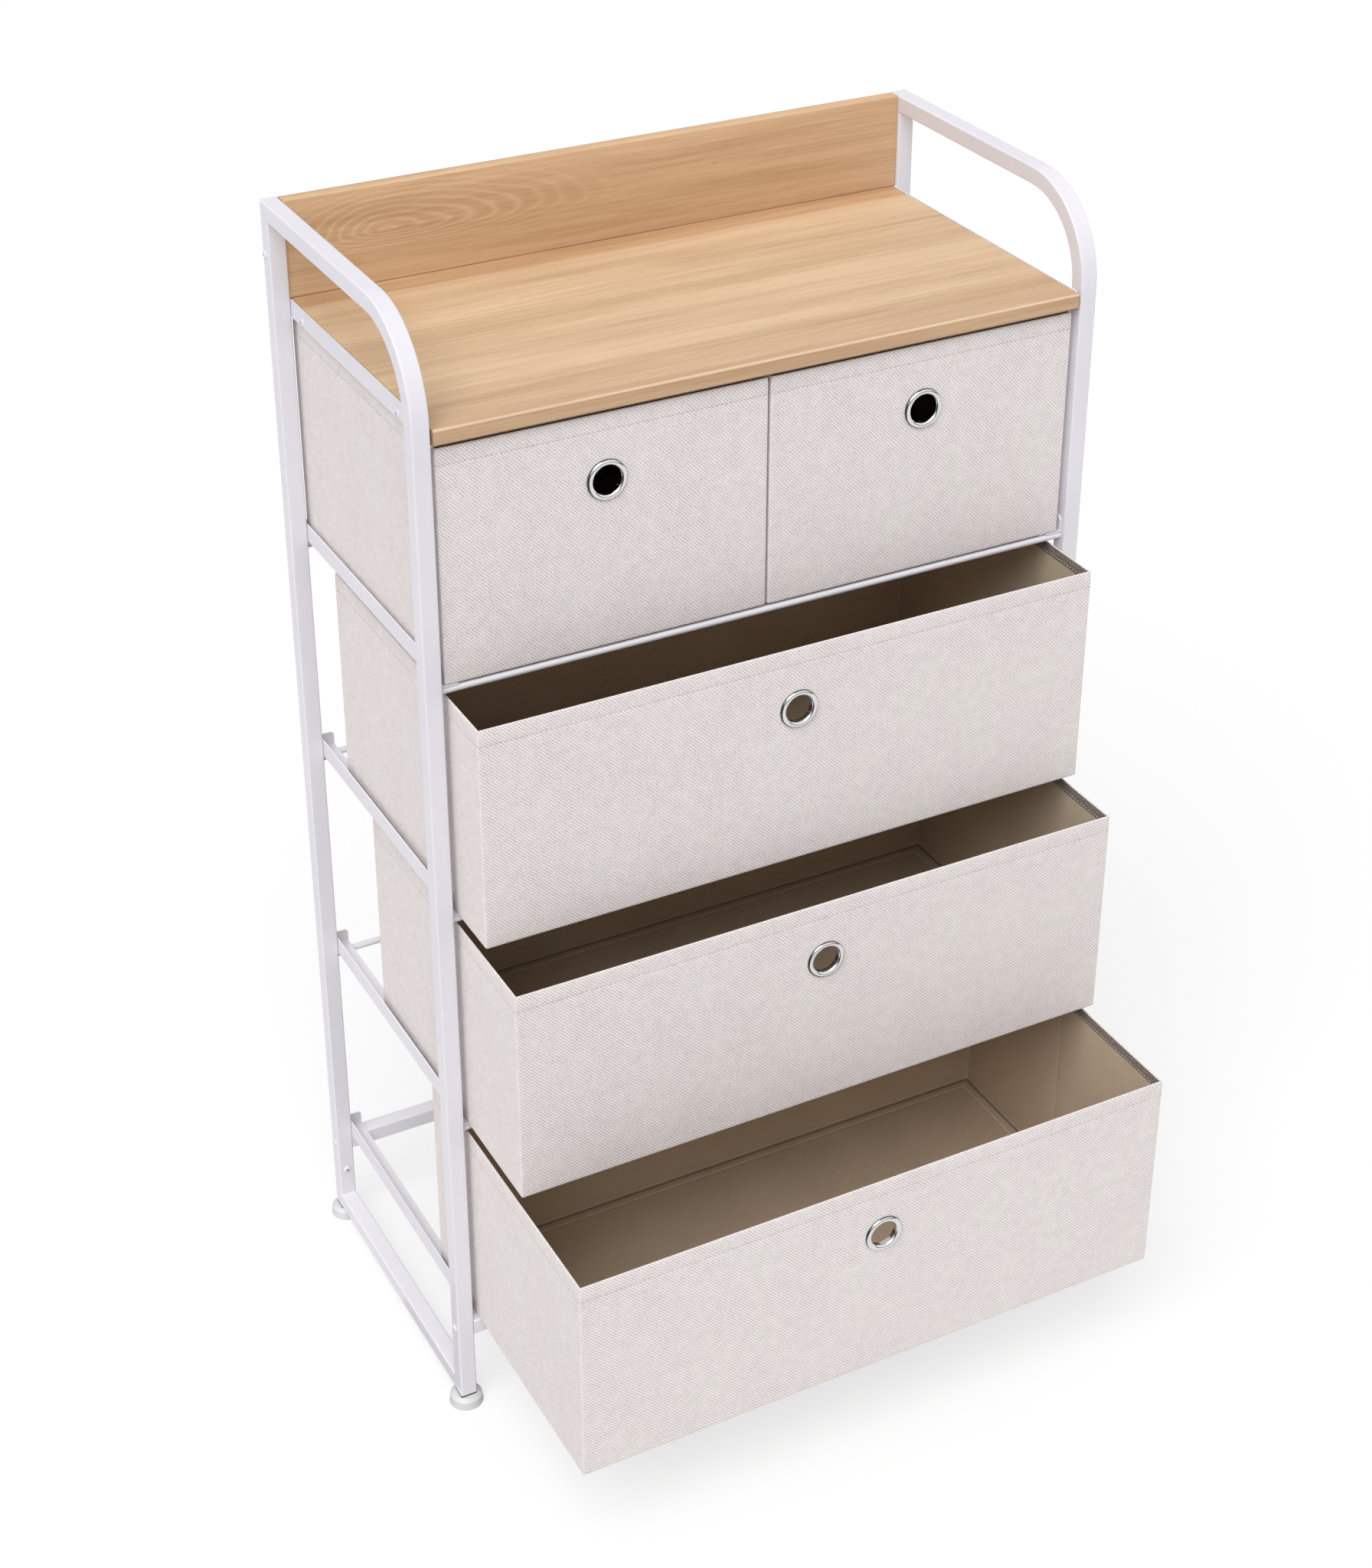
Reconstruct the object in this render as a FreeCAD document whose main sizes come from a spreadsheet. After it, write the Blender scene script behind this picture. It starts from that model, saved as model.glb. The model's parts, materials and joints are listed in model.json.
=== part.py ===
import FreeCAD, Part
import math
import os
import re
import Sketcher

# Dresser with a white steel frame, a wooden top and five fabric drawers, in millimetres.
# The origin is on the floor under the middle of the frame: X right, -Y front, Z up.

# Driving sizes
SIZES = [
    ("width", 600, "width over the side frames"),
    ("depth", 300, "depth over the posts"),
    ("height", 1029, "floor to the top of the side frames"),
    ("tube", 15, "side of the square tube"),
    ("tube_wall", 1.2, "wall of the square tube"),
    ("tube_corner", 1.5, "outer corner radius of the square tube"),
    ("bend_radius", 72.5, "radius of the hoop's bend at the middle of the tube"),
    ("foot_height", 12, "floor to the lower end of the posts"),
    ("foot_radius", 15, "radius of a foot"),
    ("foot_side", 7.5, "height of a foot's side"),
    ("foot_taper", 0.8, "loss of radius over the height of a foot's side"),
    ("foot_neck", 11, "radius of a foot at its upper end"),
    ("stem_radius", 4, "radius of a foot's threaded stem"),
    ("stem_length", 18, "length of a foot's threaded stem"),
    ("stem_play", 0.3, "gap round the stem"),
    ("plug_lip", 1.5, "rim of a post plug under the post"),
    ("plug_depth", 12, "length of a post plug inside the post"),
    ("plug_fit", 0.1, "gap round a plug or an insert in its tube"),
    ("back_rise", 82.8, "top panel up to the top of the side frames"),
    ("top_surface", "=height - back_rise", "floor to the upper face of the top panel"),
    ("panel_thickness", 13.5, "thickness of the top panel"),
    ("panel_gap", 0.6, "gap between the top panel and its supports"),
    ("panel_edge", 1.5, "rounding of the panels' edges"),
    ("back_thickness", 12, "thickness of the back panel"),
    ("back_gap", 0.3, "gap between the back panel and the posts"),
    ("angle_leg", 15, "leg of the steel angle"),
    ("angle_wall", 1.5, "wall of the steel angle"),
    ("angle_setback", 5, "front of the posts to the front end of an angle"),
    ("angle_nose", 3, "cut-off corner at the front end of an angle"),
    ("stop_rise", 12, "height of a stop plate above its angle"),
    ("stop_drop", 13, "length of a stop plate below its angle"),
    ("stop_corner", 3, "rounded corner of a stop plate"),
    ("lowest_tier", 95.5, "floor to the underside of the lowest drawer"),
    ("rod_radius", 3, "radius of the tie rods"),
    ("rod_drop", 4.7, "drawer underside down to the axis of a rod"),
    ("rod_insert", 3, "length of a rod inside a post"),
    ("rod_play", 0.1, "gap round a rod in its post"),
    ("centre_width", 30, "width of the centre runner"),
    ("weld_gap", 0.05, "gap between the centre runner and the rods"),
    ("insert_length", 15, "length of a threaded insert in a crossbar"),
    ("head_radius", 4, "radius of a screw head"),
    ("head_height", 1.8, "height of a screw head"),
    ("socket_radius", 1.3, "radius of the socket in a screw head"),
    ("socket_depth", 1, "depth of the socket in a screw head"),
    ("screw_shank", 1.7, "radius of a short screw"),
    ("screw_length", 12, "length of a short screw"),
    ("bolt_shank", 2.5, "radius of a long bolt"),
    ("bolt_length", 28, "length of a long bolt"),
    ("hole_play", 0.15, "gap round a screw in its hole"),
    ("panel_screw_rear", 40, "back of the frame to the rear panel screw"),
    ("panel_screw_front", 62, "front of the frame to the front panel screw"),
    ("panel_screw_drop", 10.5, "top of the panel down to its screws"),
    ("back_bolt_rise", 38.4, "top of the panel up to the back panel's bolts"),
    ("post_screw_height", 55.7, "floor to the screw on a rear post"),
    ("headroom", 3.7, "gap between the top drawers and the top panel"),
    ("tier_gap", 12.5, "gap between the drawers of one tier and the next"),
    ("drawer_room", "=top_surface - panel_thickness - headroom - lowest_tier", "height of all the tiers"),
    ("drawer_height", "=(drawer_room - 3 * tier_gap) / 4", "height of a drawer"),
    ("tier_pitch", "=drawer_height + tier_gap", "height from one tier to the next"),
    ("drawer_setback", 5, "front of the posts to the front of a closed drawer"),
    ("rear_gap", 3, "back of a closed drawer to the back of the frame"),
    ("drawer_depth", "=depth - drawer_setback - rear_gap", "depth of a drawer"),
    ("wide_play", 5.5, "gap between a wide drawer and the posts"),
    ("wide_drawer", "=width - 2 * tube - 2 * wide_play", "width of a wide drawer"),
    ("half_play", 4, "gap between a half drawer and the posts"),
    ("half_gap", 2, "gap between the two half drawers"),
    ("half_drawer", "=(width - 2 * tube - 2 * half_play - half_gap) / 2", "width of a half drawer"),
    ("closed_pull", 0, "pull-out of the top drawers"),
    ("upper_pull", 55, "pull-out of the upper wide drawer"),
    ("middle_pull", 108, "pull-out of the middle wide drawer"),
    ("lower_pull", 213, "pull-out of the lower wide drawer"),
    ("cover_cloth", 0.6, "thickness of the cover"),
    ("cover_corner", 1.5, "rounding of the cover's upright corners"),
    ("lining_cloth", 0.4, "thickness of the lining"),
    ("board", 1.6, "thickness of the boards in the walls"),
    ("base_board", 2.5, "thickness of the base board"),
    ("hem", 9, "height of the fold inside the rim"),
    ("grommet_radius", 17.3, "outer radius of a grommet"),
    ("grommet_hole", 12, "radius of the finger hole"),
    ("grommet_barrel", 13.2, "radius of the grommet's barrel in the wall"),
    ("grommet_dome", 2.4, "height of the grommet's rounded front"),
    ("grommet_back_radius", 16, "radius of the grommet's washer inside"),
    ("grommet_back", 1, "thickness of the grommet's washer inside"),
    ("grommet_drop", 55.7, "rim of the drawer down to the grommet's axis"),
    ("overrun", 2, "length by which a cut runs past its piece"),
]
TIERS = 4
ROD_TIERS = (1, 2, 3)

doc = FreeCAD.newDocument("fabric_drawer_dresser")
sheet = doc.addObject("Spreadsheet::Sheet", "Sizes")
for row, (alias, size, note) in enumerate(SIZES, start=1):
    sheet.set(f"A{row}", note)
    sheet.set(f"B{row}", str(size))
    sheet.setAlias(f"B{row}", alias)
doc.recompute()

WORDS = re.compile(r"\b(" + "|".join(alias for alias, _, _ in SIZES) + r")\b")
X_AXIS = FreeCAD.Vector(1, 0, 0)
Y_AXIS = FreeCAD.Vector(0, 1, 0)
Z_AXIS = FreeCAD.Vector(0, 0, 1)
pieces = []


# Formulas
def bound(formula):
    """The formula with every size name pointed at its cell of the sheet."""
    return WORDS.sub(r"Sizes.\1", formula)


def number(formula):
    """The present value of a formula."""
    return float(sheet.evalExpression(formula))


def drive(thing, prop, formula):
    """Bind a property to a formula of the sheet's sizes."""
    thing.setExpression(prop, bound(formula))


def place(thing, x, y, z):
    """Bind the position of an object."""
    for axis, formula in zip("xyz", (x, y, z)):
        drive(thing, f"Placement.Base.{axis}", formula)


def turned(axis, quarter_turns):
    """A placement at the origin turned by quarter turns about an axis."""
    return FreeCAD.Placement(FreeCAD.Vector(), FreeCAD.Rotation(axis, 90 * quarter_turns))


# Sketches
def new_body(label):
    """An empty body that carries a label."""
    body = doc.addObject("PartDesign::Body", label)
    body.Label = label
    return body


def sketch(body, name, role, y="0", lift="0"):
    """A sketch on one of the body's own planes, moved up in the plane and off the plane."""
    flat = body.newObject("Sketcher::SketchObject", f"{body.Label}_{name}")
    plane = next(f for f in body.Origin.OriginFeatures if f.Role == role)
    flat.AttachmentSupport = [(plane, "")]
    flat.MapMode = "FlatFace"
    drive(flat, "AttachmentOffset.Base.y", y)
    drive(flat, "AttachmentOffset.Base.z", lift)
    return flat


def rule(flat, constraint, formula):
    """Add a constraint and bind it to a formula."""
    index = flat.addConstraint(constraint)
    flat.setExpression(f"Constraints[{index}]", bound(formula))


def pin(flat, curve, end, x, y):
    """Hold one point of a curve at a place in the sketch."""
    rule(flat, Sketcher.Constraint("DistanceX", -1, 1, curve, end, number(x)), x)
    rule(flat, Sketcher.Constraint("DistanceY", -1, 1, curve, end, number(y)), y)


def arc(start, end, radius):
    """The short arc from start to end that turns left."""
    chord = end.sub(start)
    left = FreeCAD.Vector(-chord.y, chord.x, 0).normalize()
    reach = math.sqrt(radius**2 - (chord.Length / 2) ** 2)
    centre = start.add(chord.multiply(0.5)).add(left.multiply(reach))
    angles = [math.atan2(p.y - centre.y, p.x - centre.x) for p in (start, end)]
    return Part.ArcOfCircle(Part.Circle(centre, Z_AXIS, radius), *angles)


def outline(flat, points, closed=True):
    """A run of lines through (x, y); a point with a third formula starts an arc of that radius."""
    spots = [FreeCAD.Vector(number(p[0]), number(p[1]), 0) for p in points]
    count = len(points) if closed else len(points) - 1
    curves = []
    for i in range(count):
        start, end = spots[i], spots[(i + 1) % len(spots)]
        bent = len(points[i]) > 2
        shape = arc(start, end, number(points[i][2])) if bent else Part.LineSegment(start, end)
        curves.append(flat.addGeometry(shape))
    for i, curve in enumerate(curves):
        pin(flat, curve, 1, points[i][0], points[i][1])
        if len(points[i]) > 2:
            rule(flat, Sketcher.Constraint("Radius", curve, number(points[i][2])), points[i][2])
        if closed or i + 1 < count:
            flat.addConstraint(Sketcher.Constraint("Coincident", curve, 2, curves[(i + 1) % count], 1))
    if not closed:
        pin(flat, curves[-1], 2, points[-1][0], points[-1][1])


def rectangle(flat, half_x, half_y):
    """A rectangle about the sketch's origin."""
    outline(
        flat,
        [
            (f"-({half_x})", f"-({half_y})"),
            (half_x, f"-({half_y})"),
            (half_x, half_y),
            (f"-({half_x})", half_y),
        ],
    )


def rounded(flat, half_x, half_y, corner):
    """A rectangle about the sketch's origin with rounded corners."""
    near_x = f"({half_x} - {corner})"
    near_y = f"({half_y} - {corner})"
    outline(
        flat,
        [
            (f"-{near_x}", f"-({half_y})"),
            (near_x, f"-({half_y})", corner),
            (half_x, f"-{near_y}"),
            (half_x, near_y, corner),
            (near_x, half_y),
            (f"-{near_x}", half_y, corner),
            (f"-({half_x})", near_y),
            (f"-({half_x})", f"-{near_y}", corner),
        ],
    )


def circle(flat, x, y, radius):
    """A circle about a place in the sketch."""
    middle = FreeCAD.Vector(number(x), number(y), 0)
    ring = flat.addGeometry(Part.Circle(middle, Z_AXIS, number(radius)))
    pin(flat, ring, 3, x, y)
    rule(flat, Sketcher.Constraint("Radius", ring, number(radius)), radius)


# Features
def extrude(kind, flat, length, side="One side", backwards=False):
    """Pad or pocket a sketch by a length, to one side or half to each side."""
    body = flat.getParentGeoFeatureGroup()
    feature = body.newObject(f"PartDesign::{kind}", f"{flat.Name}_{kind.lower()}")
    feature.Profile = flat
    feature.SideType = side
    feature.Reversed = backwards
    drive(feature, "Length", length)


def pad(flat, length, **options):
    extrude("Pad", flat, length, **options)


def bore(flat, length):
    """Cut a sketch half its length to each side."""
    extrude("Pocket", flat, length, side="Symmetric")


def revolve(flat, axis):
    """Turn a profile once round an axis of its sketch."""
    body = flat.getParentGeoFeatureGroup()
    feature = body.newObject("PartDesign::Revolution", f"{flat.Name}_turn")
    feature.Profile = flat
    feature.ReferenceAxis = (flat, [axis])
    feature.Angle = 360


def tube_section(flat):
    """The hollow section of the square tube."""
    rounded(flat, "tube / 2", "tube / 2", "tube_corner")
    rectangle(flat, "tube / 2 - tube_wall", "tube / 2 - tube_wall")


def mirrored(left):
    """The right-hand twin of a left-hand piece."""
    label = left.Label.replace("left_", "right_")
    twin = doc.addObject("Part::Mirroring", label)
    twin.Label = label
    twin.Source = left
    twin.Normal = X_AXIS
    return twin


def both_sides(left):
    """Keep a left-hand piece and its right-hand twin."""
    pieces.extend([left, mirrored(left)])


def compound(label, links):
    """One node made of separate solids."""
    group = doc.addObject("Part::Compound", label)
    group.Label = label
    group.Links = links
    return group


def tier(number_from_top):
    """Height of a tier: the underside of its drawers."""
    return f"(lowest_tier + tier_pitch * {TIERS - number_from_top})"


POST_X = "(-width / 2 + tube / 2)"
POST_Y = "(depth / 2 - tube / 2)"
INNER_FACE = "(-width / 2 + tube)"
BAR_Z = "(lowest_tier - angle_wall - tube / 2)"
BACK_BOLT_Z = "(top_surface + back_bolt_rise)"
BACK_Y = "(depth / 2 - back_thickness / 2)"
PANEL_SCREW_Z = "(top_surface - panel_screw_drop)"
PANEL_SCREW_Y = ("(depth / 2 - panel_screw_rear)", "(-depth / 2 + panel_screw_front)")
PANEL_HALF = "(width / 2 - tube - angle_wall - panel_gap)"
BACK_HALF = "(width / 2 - tube - back_gap)"


# Side frames
def post_holes(body, post_y):
    """Holes of a post: rods in its inner wall and the crossbar's bolt through both walls."""
    rods = sketch(body, "rod_holes", "YZ_Plane", lift="tube / 2 - tube_wall / 2")
    for number_from_top in ROD_TIERS:
        circle(rods, post_y, f"{tier(number_from_top)} - rod_drop", "rod_radius + rod_play")
    bore(rods, "tube_wall + overrun")
    bolt = sketch(body, "bolt_hole", "YZ_Plane")
    circle(bolt, post_y, BAR_Z, "bolt_shank + hole_play")
    bore(bolt, "tube + overrun")


def rear_post():
    """Upright tube, mitred at its upper end."""
    body = new_body("left_rear_post")
    place(body, POST_X, "0", "0")
    section = sketch(body, "section", "XY_Plane", y=POST_Y, lift="foot_height")
    tube_section(section)
    pad(section, "height - foot_height")
    mitre = sketch(body, "mitre", "YZ_Plane")
    front = "depth / 2 - tube - overrun"
    outline(
        mitre,
        [
            (front, "height - tube - overrun"),
            ("depth / 2 + overrun", "height + overrun"),
            (front, "height + overrun"),
        ],
    )
    bore(mitre, "tube + overrun")
    post_holes(body, POST_Y)
    back_bolt = sketch(body, "back_bolt_hole", "YZ_Plane")
    circle(back_bolt, BACK_Y, BACK_BOLT_Z, "bolt_shank + hole_play")
    bore(back_bolt, "tube + overrun")
    screw = sketch(body, "screw_hole", "XZ_Plane", lift="-depth / 2 + tube - tube_wall / 2")
    circle(screw, "0", "post_screw_height", "screw_shank + hole_play")
    bore(screw, "tube_wall + overrun")
    return body


def hoop():
    """Front post and top rail bent from one tube, mitred at the rear."""
    body = new_body("left_hoop")
    place(body, POST_X, "0", "0")
    rail_z = "height - tube / 2"
    path = sketch(body, "path", "YZ_Plane")
    outline(
        path,
        [
            ("depth / 2", rail_z),
            (f"-{POST_Y} + bend_radius", rail_z, "bend_radius"),
            (f"-{POST_Y}", f"{rail_z} - bend_radius"),
            (f"-{POST_Y}", "foot_height"),
        ],
        closed=False,
    )
    section = sketch(body, "section", "XZ_Plane", y=rail_z, lift="-depth / 2")
    tube_section(section)
    sweep = body.newObject("PartDesign::AdditivePipe", "left_hoop_sweep")
    sweep.Profile = section
    sweep.Spine = path
    mitre = sketch(body, "mitre", "YZ_Plane")
    low = "height - tube - overrun"
    outline(
        mitre,
        [
            ("depth / 2 - tube - overrun", low),
            ("depth / 2 + overrun", low),
            ("depth / 2 + overrun", "height + overrun"),
        ],
    )
    bore(mitre, "tube + overrun")
    post_holes(body, f"-{POST_Y}")
    return body


def bottom_rail():
    """Short tube between the two posts of a side."""
    body = new_body("left_bottom_rail")
    place(body, POST_X, "0", "foot_height + tube / 2")
    section = sketch(body, "section", "XZ_Plane")
    tube_section(section)
    pad(section, "depth - 2 * tube", side="Symmetric")
    return body


# Angles
def angle(label, level, rear_end):
    """Steel angle on the inner faces of the posts, its outer leg standing up."""
    body = new_body(label)
    place(body, INNER_FACE, "0", level)
    section = sketch(body, "section", "XZ_Plane", lift="depth / 2 - angle_setback")
    outline(
        section,
        [
            ("0", "0"),
            ("angle_leg", "0"),
            ("angle_leg", "angle_wall"),
            ("angle_wall", "angle_wall"),
            ("angle_wall", "angle_leg"),
            ("0", "angle_leg"),
        ],
    )
    pad(section, f"depth - angle_setback - {rear_end}", backwards=True)
    nose = sketch(body, "nose", "YZ_Plane")
    front = "-depth / 2 + angle_setback"
    outline(
        nose,
        [
            (f"{front} - overrun", "angle_leg - angle_nose - overrun"),
            (f"{front} + angle_nose + overrun", "angle_leg + overrun"),
            (f"{front} - overrun", "angle_leg + overrun"),
        ],
    )
    bore(nose, "2 * angle_wall + overrun")
    return body


def top_support():
    """Angle that carries the top panel, with the holes of the panel's screws."""
    body = angle("left_top_support", "top_surface - angle_leg", "0")
    holes = sketch(body, "screw_holes", "YZ_Plane", lift="angle_wall / 2")
    for screw_y in PANEL_SCREW_Y:
        circle(holes, screw_y, "angle_leg - panel_screw_drop", "screw_shank + hole_play")
    bore(holes, "angle_wall + overrun")
    return body


def runner(number_from_top):
    """Angle that carries a drawer, with a stop plate across its rear end."""
    level = f"{tier(number_from_top)} - angle_wall"
    body = angle(f"left_runner_{number_from_top}", level, "angle_wall")
    plate = sketch(body, "stop", "XZ_Plane", lift="-depth / 2 + angle_wall")
    foot = "-stop_drop" if number_from_top in ROD_TIERS else "0"
    outline(
        plate,
        [
            ("0", foot),
            ("angle_leg", foot),
            ("angle_leg", "angle_wall + stop_rise - stop_corner", "stop_corner"),
            ("angle_leg - stop_corner", "angle_wall + stop_rise"),
            ("0", "angle_wall + stop_rise"),
        ],
    )
    pad(plate, "angle_wall", backwards=True)
    return body


# Cross members
def rod(label, number_from_top, rod_y):
    """Round tie rod plugged into the posts' inner walls."""
    bar = doc.addObject("Part::Cylinder", label)
    bar.Label = label
    bar.Placement = turned(Y_AXIS, 1)
    drive(bar, "Radius", "rod_radius")
    drive(bar, "Height", "width - 2 * tube + 2 * rod_insert")
    place(bar, f"{INNER_FACE} - rod_insert", rod_y, f"{tier(number_from_top)} - rod_drop")
    return bar


def crossbar(label, bar_y):
    """Square tube between the posts with a threaded insert in each end."""
    bar = new_body(f"{label}_tube")
    place(bar, "0", bar_y, BAR_Z)
    section = sketch(bar, "section", "YZ_Plane")
    tube_section(section)
    pad(section, "width - 2 * tube", side="Symmetric")
    insert = new_body(f"left_{label}_insert")
    place(insert, f"{INNER_FACE} + insert_length / 2", bar_y, BAR_Z)
    block = sketch(insert, "section", "YZ_Plane")
    rectangle(block, "tube / 2 - tube_wall - plug_fit", "tube / 2 - tube_wall - plug_fit")
    circle(block, "0", "0", "bolt_shank + hole_play")
    pad(block, "insert_length", side="Symmetric")
    return compound(label, [bar, insert, mirrored(insert)])


def centre_runner():
    """Inverted channel between the rods of the top tier, under both half drawers."""
    body = new_body("centre_runner")
    place(body, "0", "0", tier(1))
    section = sketch(body, "section", "XZ_Plane")
    half = "centre_width / 2"
    outline(
        section,
        [
            (f"-{half}", "-rod_drop"),
            (f"-{half} + angle_wall", "-rod_drop"),
            (f"-{half} + angle_wall", "-angle_wall"),
            (f"{half} - angle_wall", "-angle_wall"),
            (f"{half} - angle_wall", "-rod_drop"),
            (half, "-rod_drop"),
            (half, "0"),
            (f"-{half}", "0"),
        ],
    )
    pad(section, "depth - tube - 2 * rod_radius - 2 * weld_gap", side="Symmetric")
    return body


# Panels
def side_bores(body, name, half, depth_in, spots, radius):
    """Blind holes in both end faces of a panel."""
    for word, sign in (("left", "-"), ("right", "")):
        holes = sketch(body, f"{word}_{name}", "YZ_Plane", lift=f"{sign}({half} - {depth_in} / 2)")
        for spot_y, spot_z in spots:
            circle(holes, spot_y, spot_z, radius)
        bore(holes, depth_in)


def top_panel():
    """Wooden top with eased front edges."""
    body = new_body("top_panel")
    section = sketch(body, "section", "YZ_Plane")
    low = "top_surface - panel_thickness"
    front = "-depth / 2"
    outline(
        section,
        [
            (f"{front} + panel_edge", low),
            ("depth / 2", low),
            ("depth / 2", "top_surface"),
            (f"{front} + panel_edge", "top_surface", "panel_edge"),
            (front, "top_surface - panel_edge"),
            (front, f"{low} + panel_edge", "panel_edge"),
        ],
    )
    pad(section, f"2 * {PANEL_HALF}", side="Symmetric")
    spots = [(screw_y, PANEL_SCREW_Z) for screw_y in PANEL_SCREW_Y]
    reach = "(screw_length - angle_wall - panel_gap + hole_play)"
    side_bores(body, "screw_bores", PANEL_HALF, reach, spots, "screw_shank + hole_play")
    return body


def back_panel():
    """Wooden guard that stands on the rear edge of the top."""
    body = new_body("back_panel")
    section = sketch(body, "section", "YZ_Plane")
    front = "depth / 2 - back_thickness"
    outline(
        section,
        [
            (front, "top_surface"),
            ("depth / 2", "top_surface"),
            ("depth / 2", "height - panel_edge", "panel_edge"),
            ("depth / 2 - panel_edge", "height"),
            (f"{front} + panel_edge", "height", "panel_edge"),
            (front, "height - panel_edge"),
        ],
    )
    pad(section, f"2 * {BACK_HALF}", side="Symmetric")
    reach = "(bolt_length - tube - back_gap + hole_play)"
    side_bores(body, "bolt_bores", BACK_HALF, reach, [(BACK_Y, BACK_BOLT_Z)], "bolt_shank + hole_play")
    return body


# Fasteners
def fastener(label, shank, length):
    """Round-headed fastener along its own Z axis, head upwards."""
    body = new_body(label)
    profile = sketch(body, "profile", "XZ_Plane")
    dome = "((head_radius ^ 2 + head_height ^ 2) / (2 * head_height))"
    brim = f"head_height - {dome} + sqrt({dome} ^ 2 - socket_radius ^ 2)"
    outline(
        profile,
        [
            ("0", f"-{length}"),
            (shank, f"-{length}"),
            (shank, "0"),
            ("head_radius", "0", dome),
            ("socket_radius", brim),
            ("socket_radius", "head_height - socket_depth"),
            ("0", "head_height - socket_depth"),
        ],
    )
    revolve(profile, "V_Axis")
    return body


def copies(label, master, spots):
    """One node of equal pieces, each at its own place and turn."""
    links = []
    for index, (turn, x, y, z) in enumerate(spots, start=1):
        link = doc.addObject("App::Link", f"{label}_{index}")
        link.LinkedObject = master
        link.Placement = turn
        place(link, x, y, z)
        links.append(link)
    return compound(label, links)


def on_both_sides(x, y, z):
    """Outer-face spots of a fastener on the left and on the right."""
    return [(turned(Y_AXIS, -1), x, y, z), (turned(Y_AXIS, 1), f"-({x})", y, z)]


def fasteners():
    """Short screws of the top panel and rear posts, long bolts of the crossbars and back panel."""
    short = fastener("short_screw", "screw_shank", "screw_length")
    short_spots = []
    for screw_y in PANEL_SCREW_Y:
        short_spots += on_both_sides(INNER_FACE, screw_y, PANEL_SCREW_Z)
    for x in (POST_X, f"-{POST_X}"):
        short_spots.append((turned(X_AXIS, 1), x, "depth / 2 - tube", "post_screw_height"))
    long = fastener("long_bolt", "bolt_shank", "bolt_length")
    long_spots = []
    for bolt_y, bolt_z in ((f"-{POST_Y}", BAR_Z), (POST_Y, BAR_Z), (BACK_Y, BACK_BOLT_Z)):
        long_spots += on_both_sides("-width / 2", bolt_y, bolt_z)
    return [copies("short_screws", short, short_spots), copies("long_bolts", long, long_spots)]


# Feet
def plug():
    """Plastic plug in the lower end of a post, bored for the foot's stem."""
    body = new_body("post_plug")
    core = sketch(body, "core", "XY_Plane")
    rectangle(core, "tube / 2 - tube_wall - plug_fit", "tube / 2 - tube_wall - plug_fit")
    circle(core, "0", "0", "stem_radius + stem_play")
    pad(core, "plug_depth")
    lip = sketch(body, "lip", "XY_Plane")
    rounded(lip, "tube / 2", "tube / 2", "tube_corner")
    circle(lip, "0", "0", "stem_radius + stem_play")
    pad(lip, "plug_lip", backwards=True)
    return body


def foot(label, x, y):
    """Levelling foot with a threaded stem."""
    body = new_body(label)
    place(body, x, y, "0")
    profile = sketch(body, "profile", "XZ_Plane")
    shoulder = "foot_height - plug_lip"
    outline(
        profile,
        [
            ("0", "0"),
            ("foot_radius", "0"),
            ("foot_radius - foot_taper", "foot_side"),
            ("foot_neck", shoulder),
            ("stem_radius", shoulder),
            ("stem_radius", f"{shoulder} + stem_length"),
            ("0", f"{shoulder} + stem_length"),
        ],
    )
    revolve(profile, "V_Axis")
    return body


# Drawers
def box(label, corner, size):
    """A box from its lowest corner and its three lengths."""
    block = doc.addObject("Part::Box", label)
    block.Label = label
    place(block, *corner)
    for prop, formula in zip(("Length", "Width", "Height"), size):
        drive(block, prop, formula)
    return block


def cut(label, base, tool):
    """One solid minus another."""
    result = doc.addObject("Part::Cut", label)
    result.Label = label
    result.Base = base
    result.Tool = tool
    return result


def cover(name, span, x, front, level):
    """Outer cloth box with a fold hanging inside its rim."""
    body = new_body(f"{name}_cover")
    place(body, x, f"{front} + drawer_depth / 2", level)
    layers = "(cover_cloth + board + lining_cloth)"
    outer = sketch(body, "outer", "XY_Plane")
    rounded(outer, f"{span} / 2", "drawer_depth / 2", "cover_corner")
    pad(outer, "drawer_height")
    throat = sketch(body, "throat", "XY_Plane", lift="drawer_height")
    rectangle(
        throat,
        f"{span} / 2 - {layers} - cover_cloth",
        f"drawer_depth / 2 - {layers} - cover_cloth",
    )
    extrude("Pocket", throat, "drawer_height - cover_cloth")
    cavity = sketch(body, "cavity", "XY_Plane", lift="drawer_height - hem")
    rectangle(cavity, f"{span} / 2 - cover_cloth", "drawer_depth / 2 - cover_cloth")
    extrude("Pocket", cavity, "drawer_height - hem - cover_cloth")
    slot = sketch(body, "slot", "XY_Plane", lift="drawer_height - cover_cloth")
    rectangle(slot, f"{span} / 2 - cover_cloth", "drawer_depth / 2 - cover_cloth")
    rectangle(slot, f"{span} / 2 - {layers}", f"drawer_depth / 2 - {layers}")
    extrude("Pocket", slot, "hem - cover_cloth")
    hole = sketch(body, "hole", "XZ_Plane", lift="drawer_depth / 2 - cover_cloth / 2")
    circle(hole, "0", "drawer_height - grommet_drop", "grommet_barrel + hole_play")
    bore(hole, "cover_cloth + overrun")
    return body


def finger_bore(label, x, front, level):
    """Cylinder that bores the front wall for the grommet."""
    tool = doc.addObject("Part::Cylinder", label)
    tool.Label = label
    tool.Placement = turned(X_AXIS, -1)
    drive(tool, "Radius", "grommet_barrel + hole_play")
    drive(tool, "Height", "cover_cloth + board + lining_cloth + 2 * overrun")
    place(tool, x, f"{front} - overrun", f"{level} + drawer_height - grommet_drop")
    return tool


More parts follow.
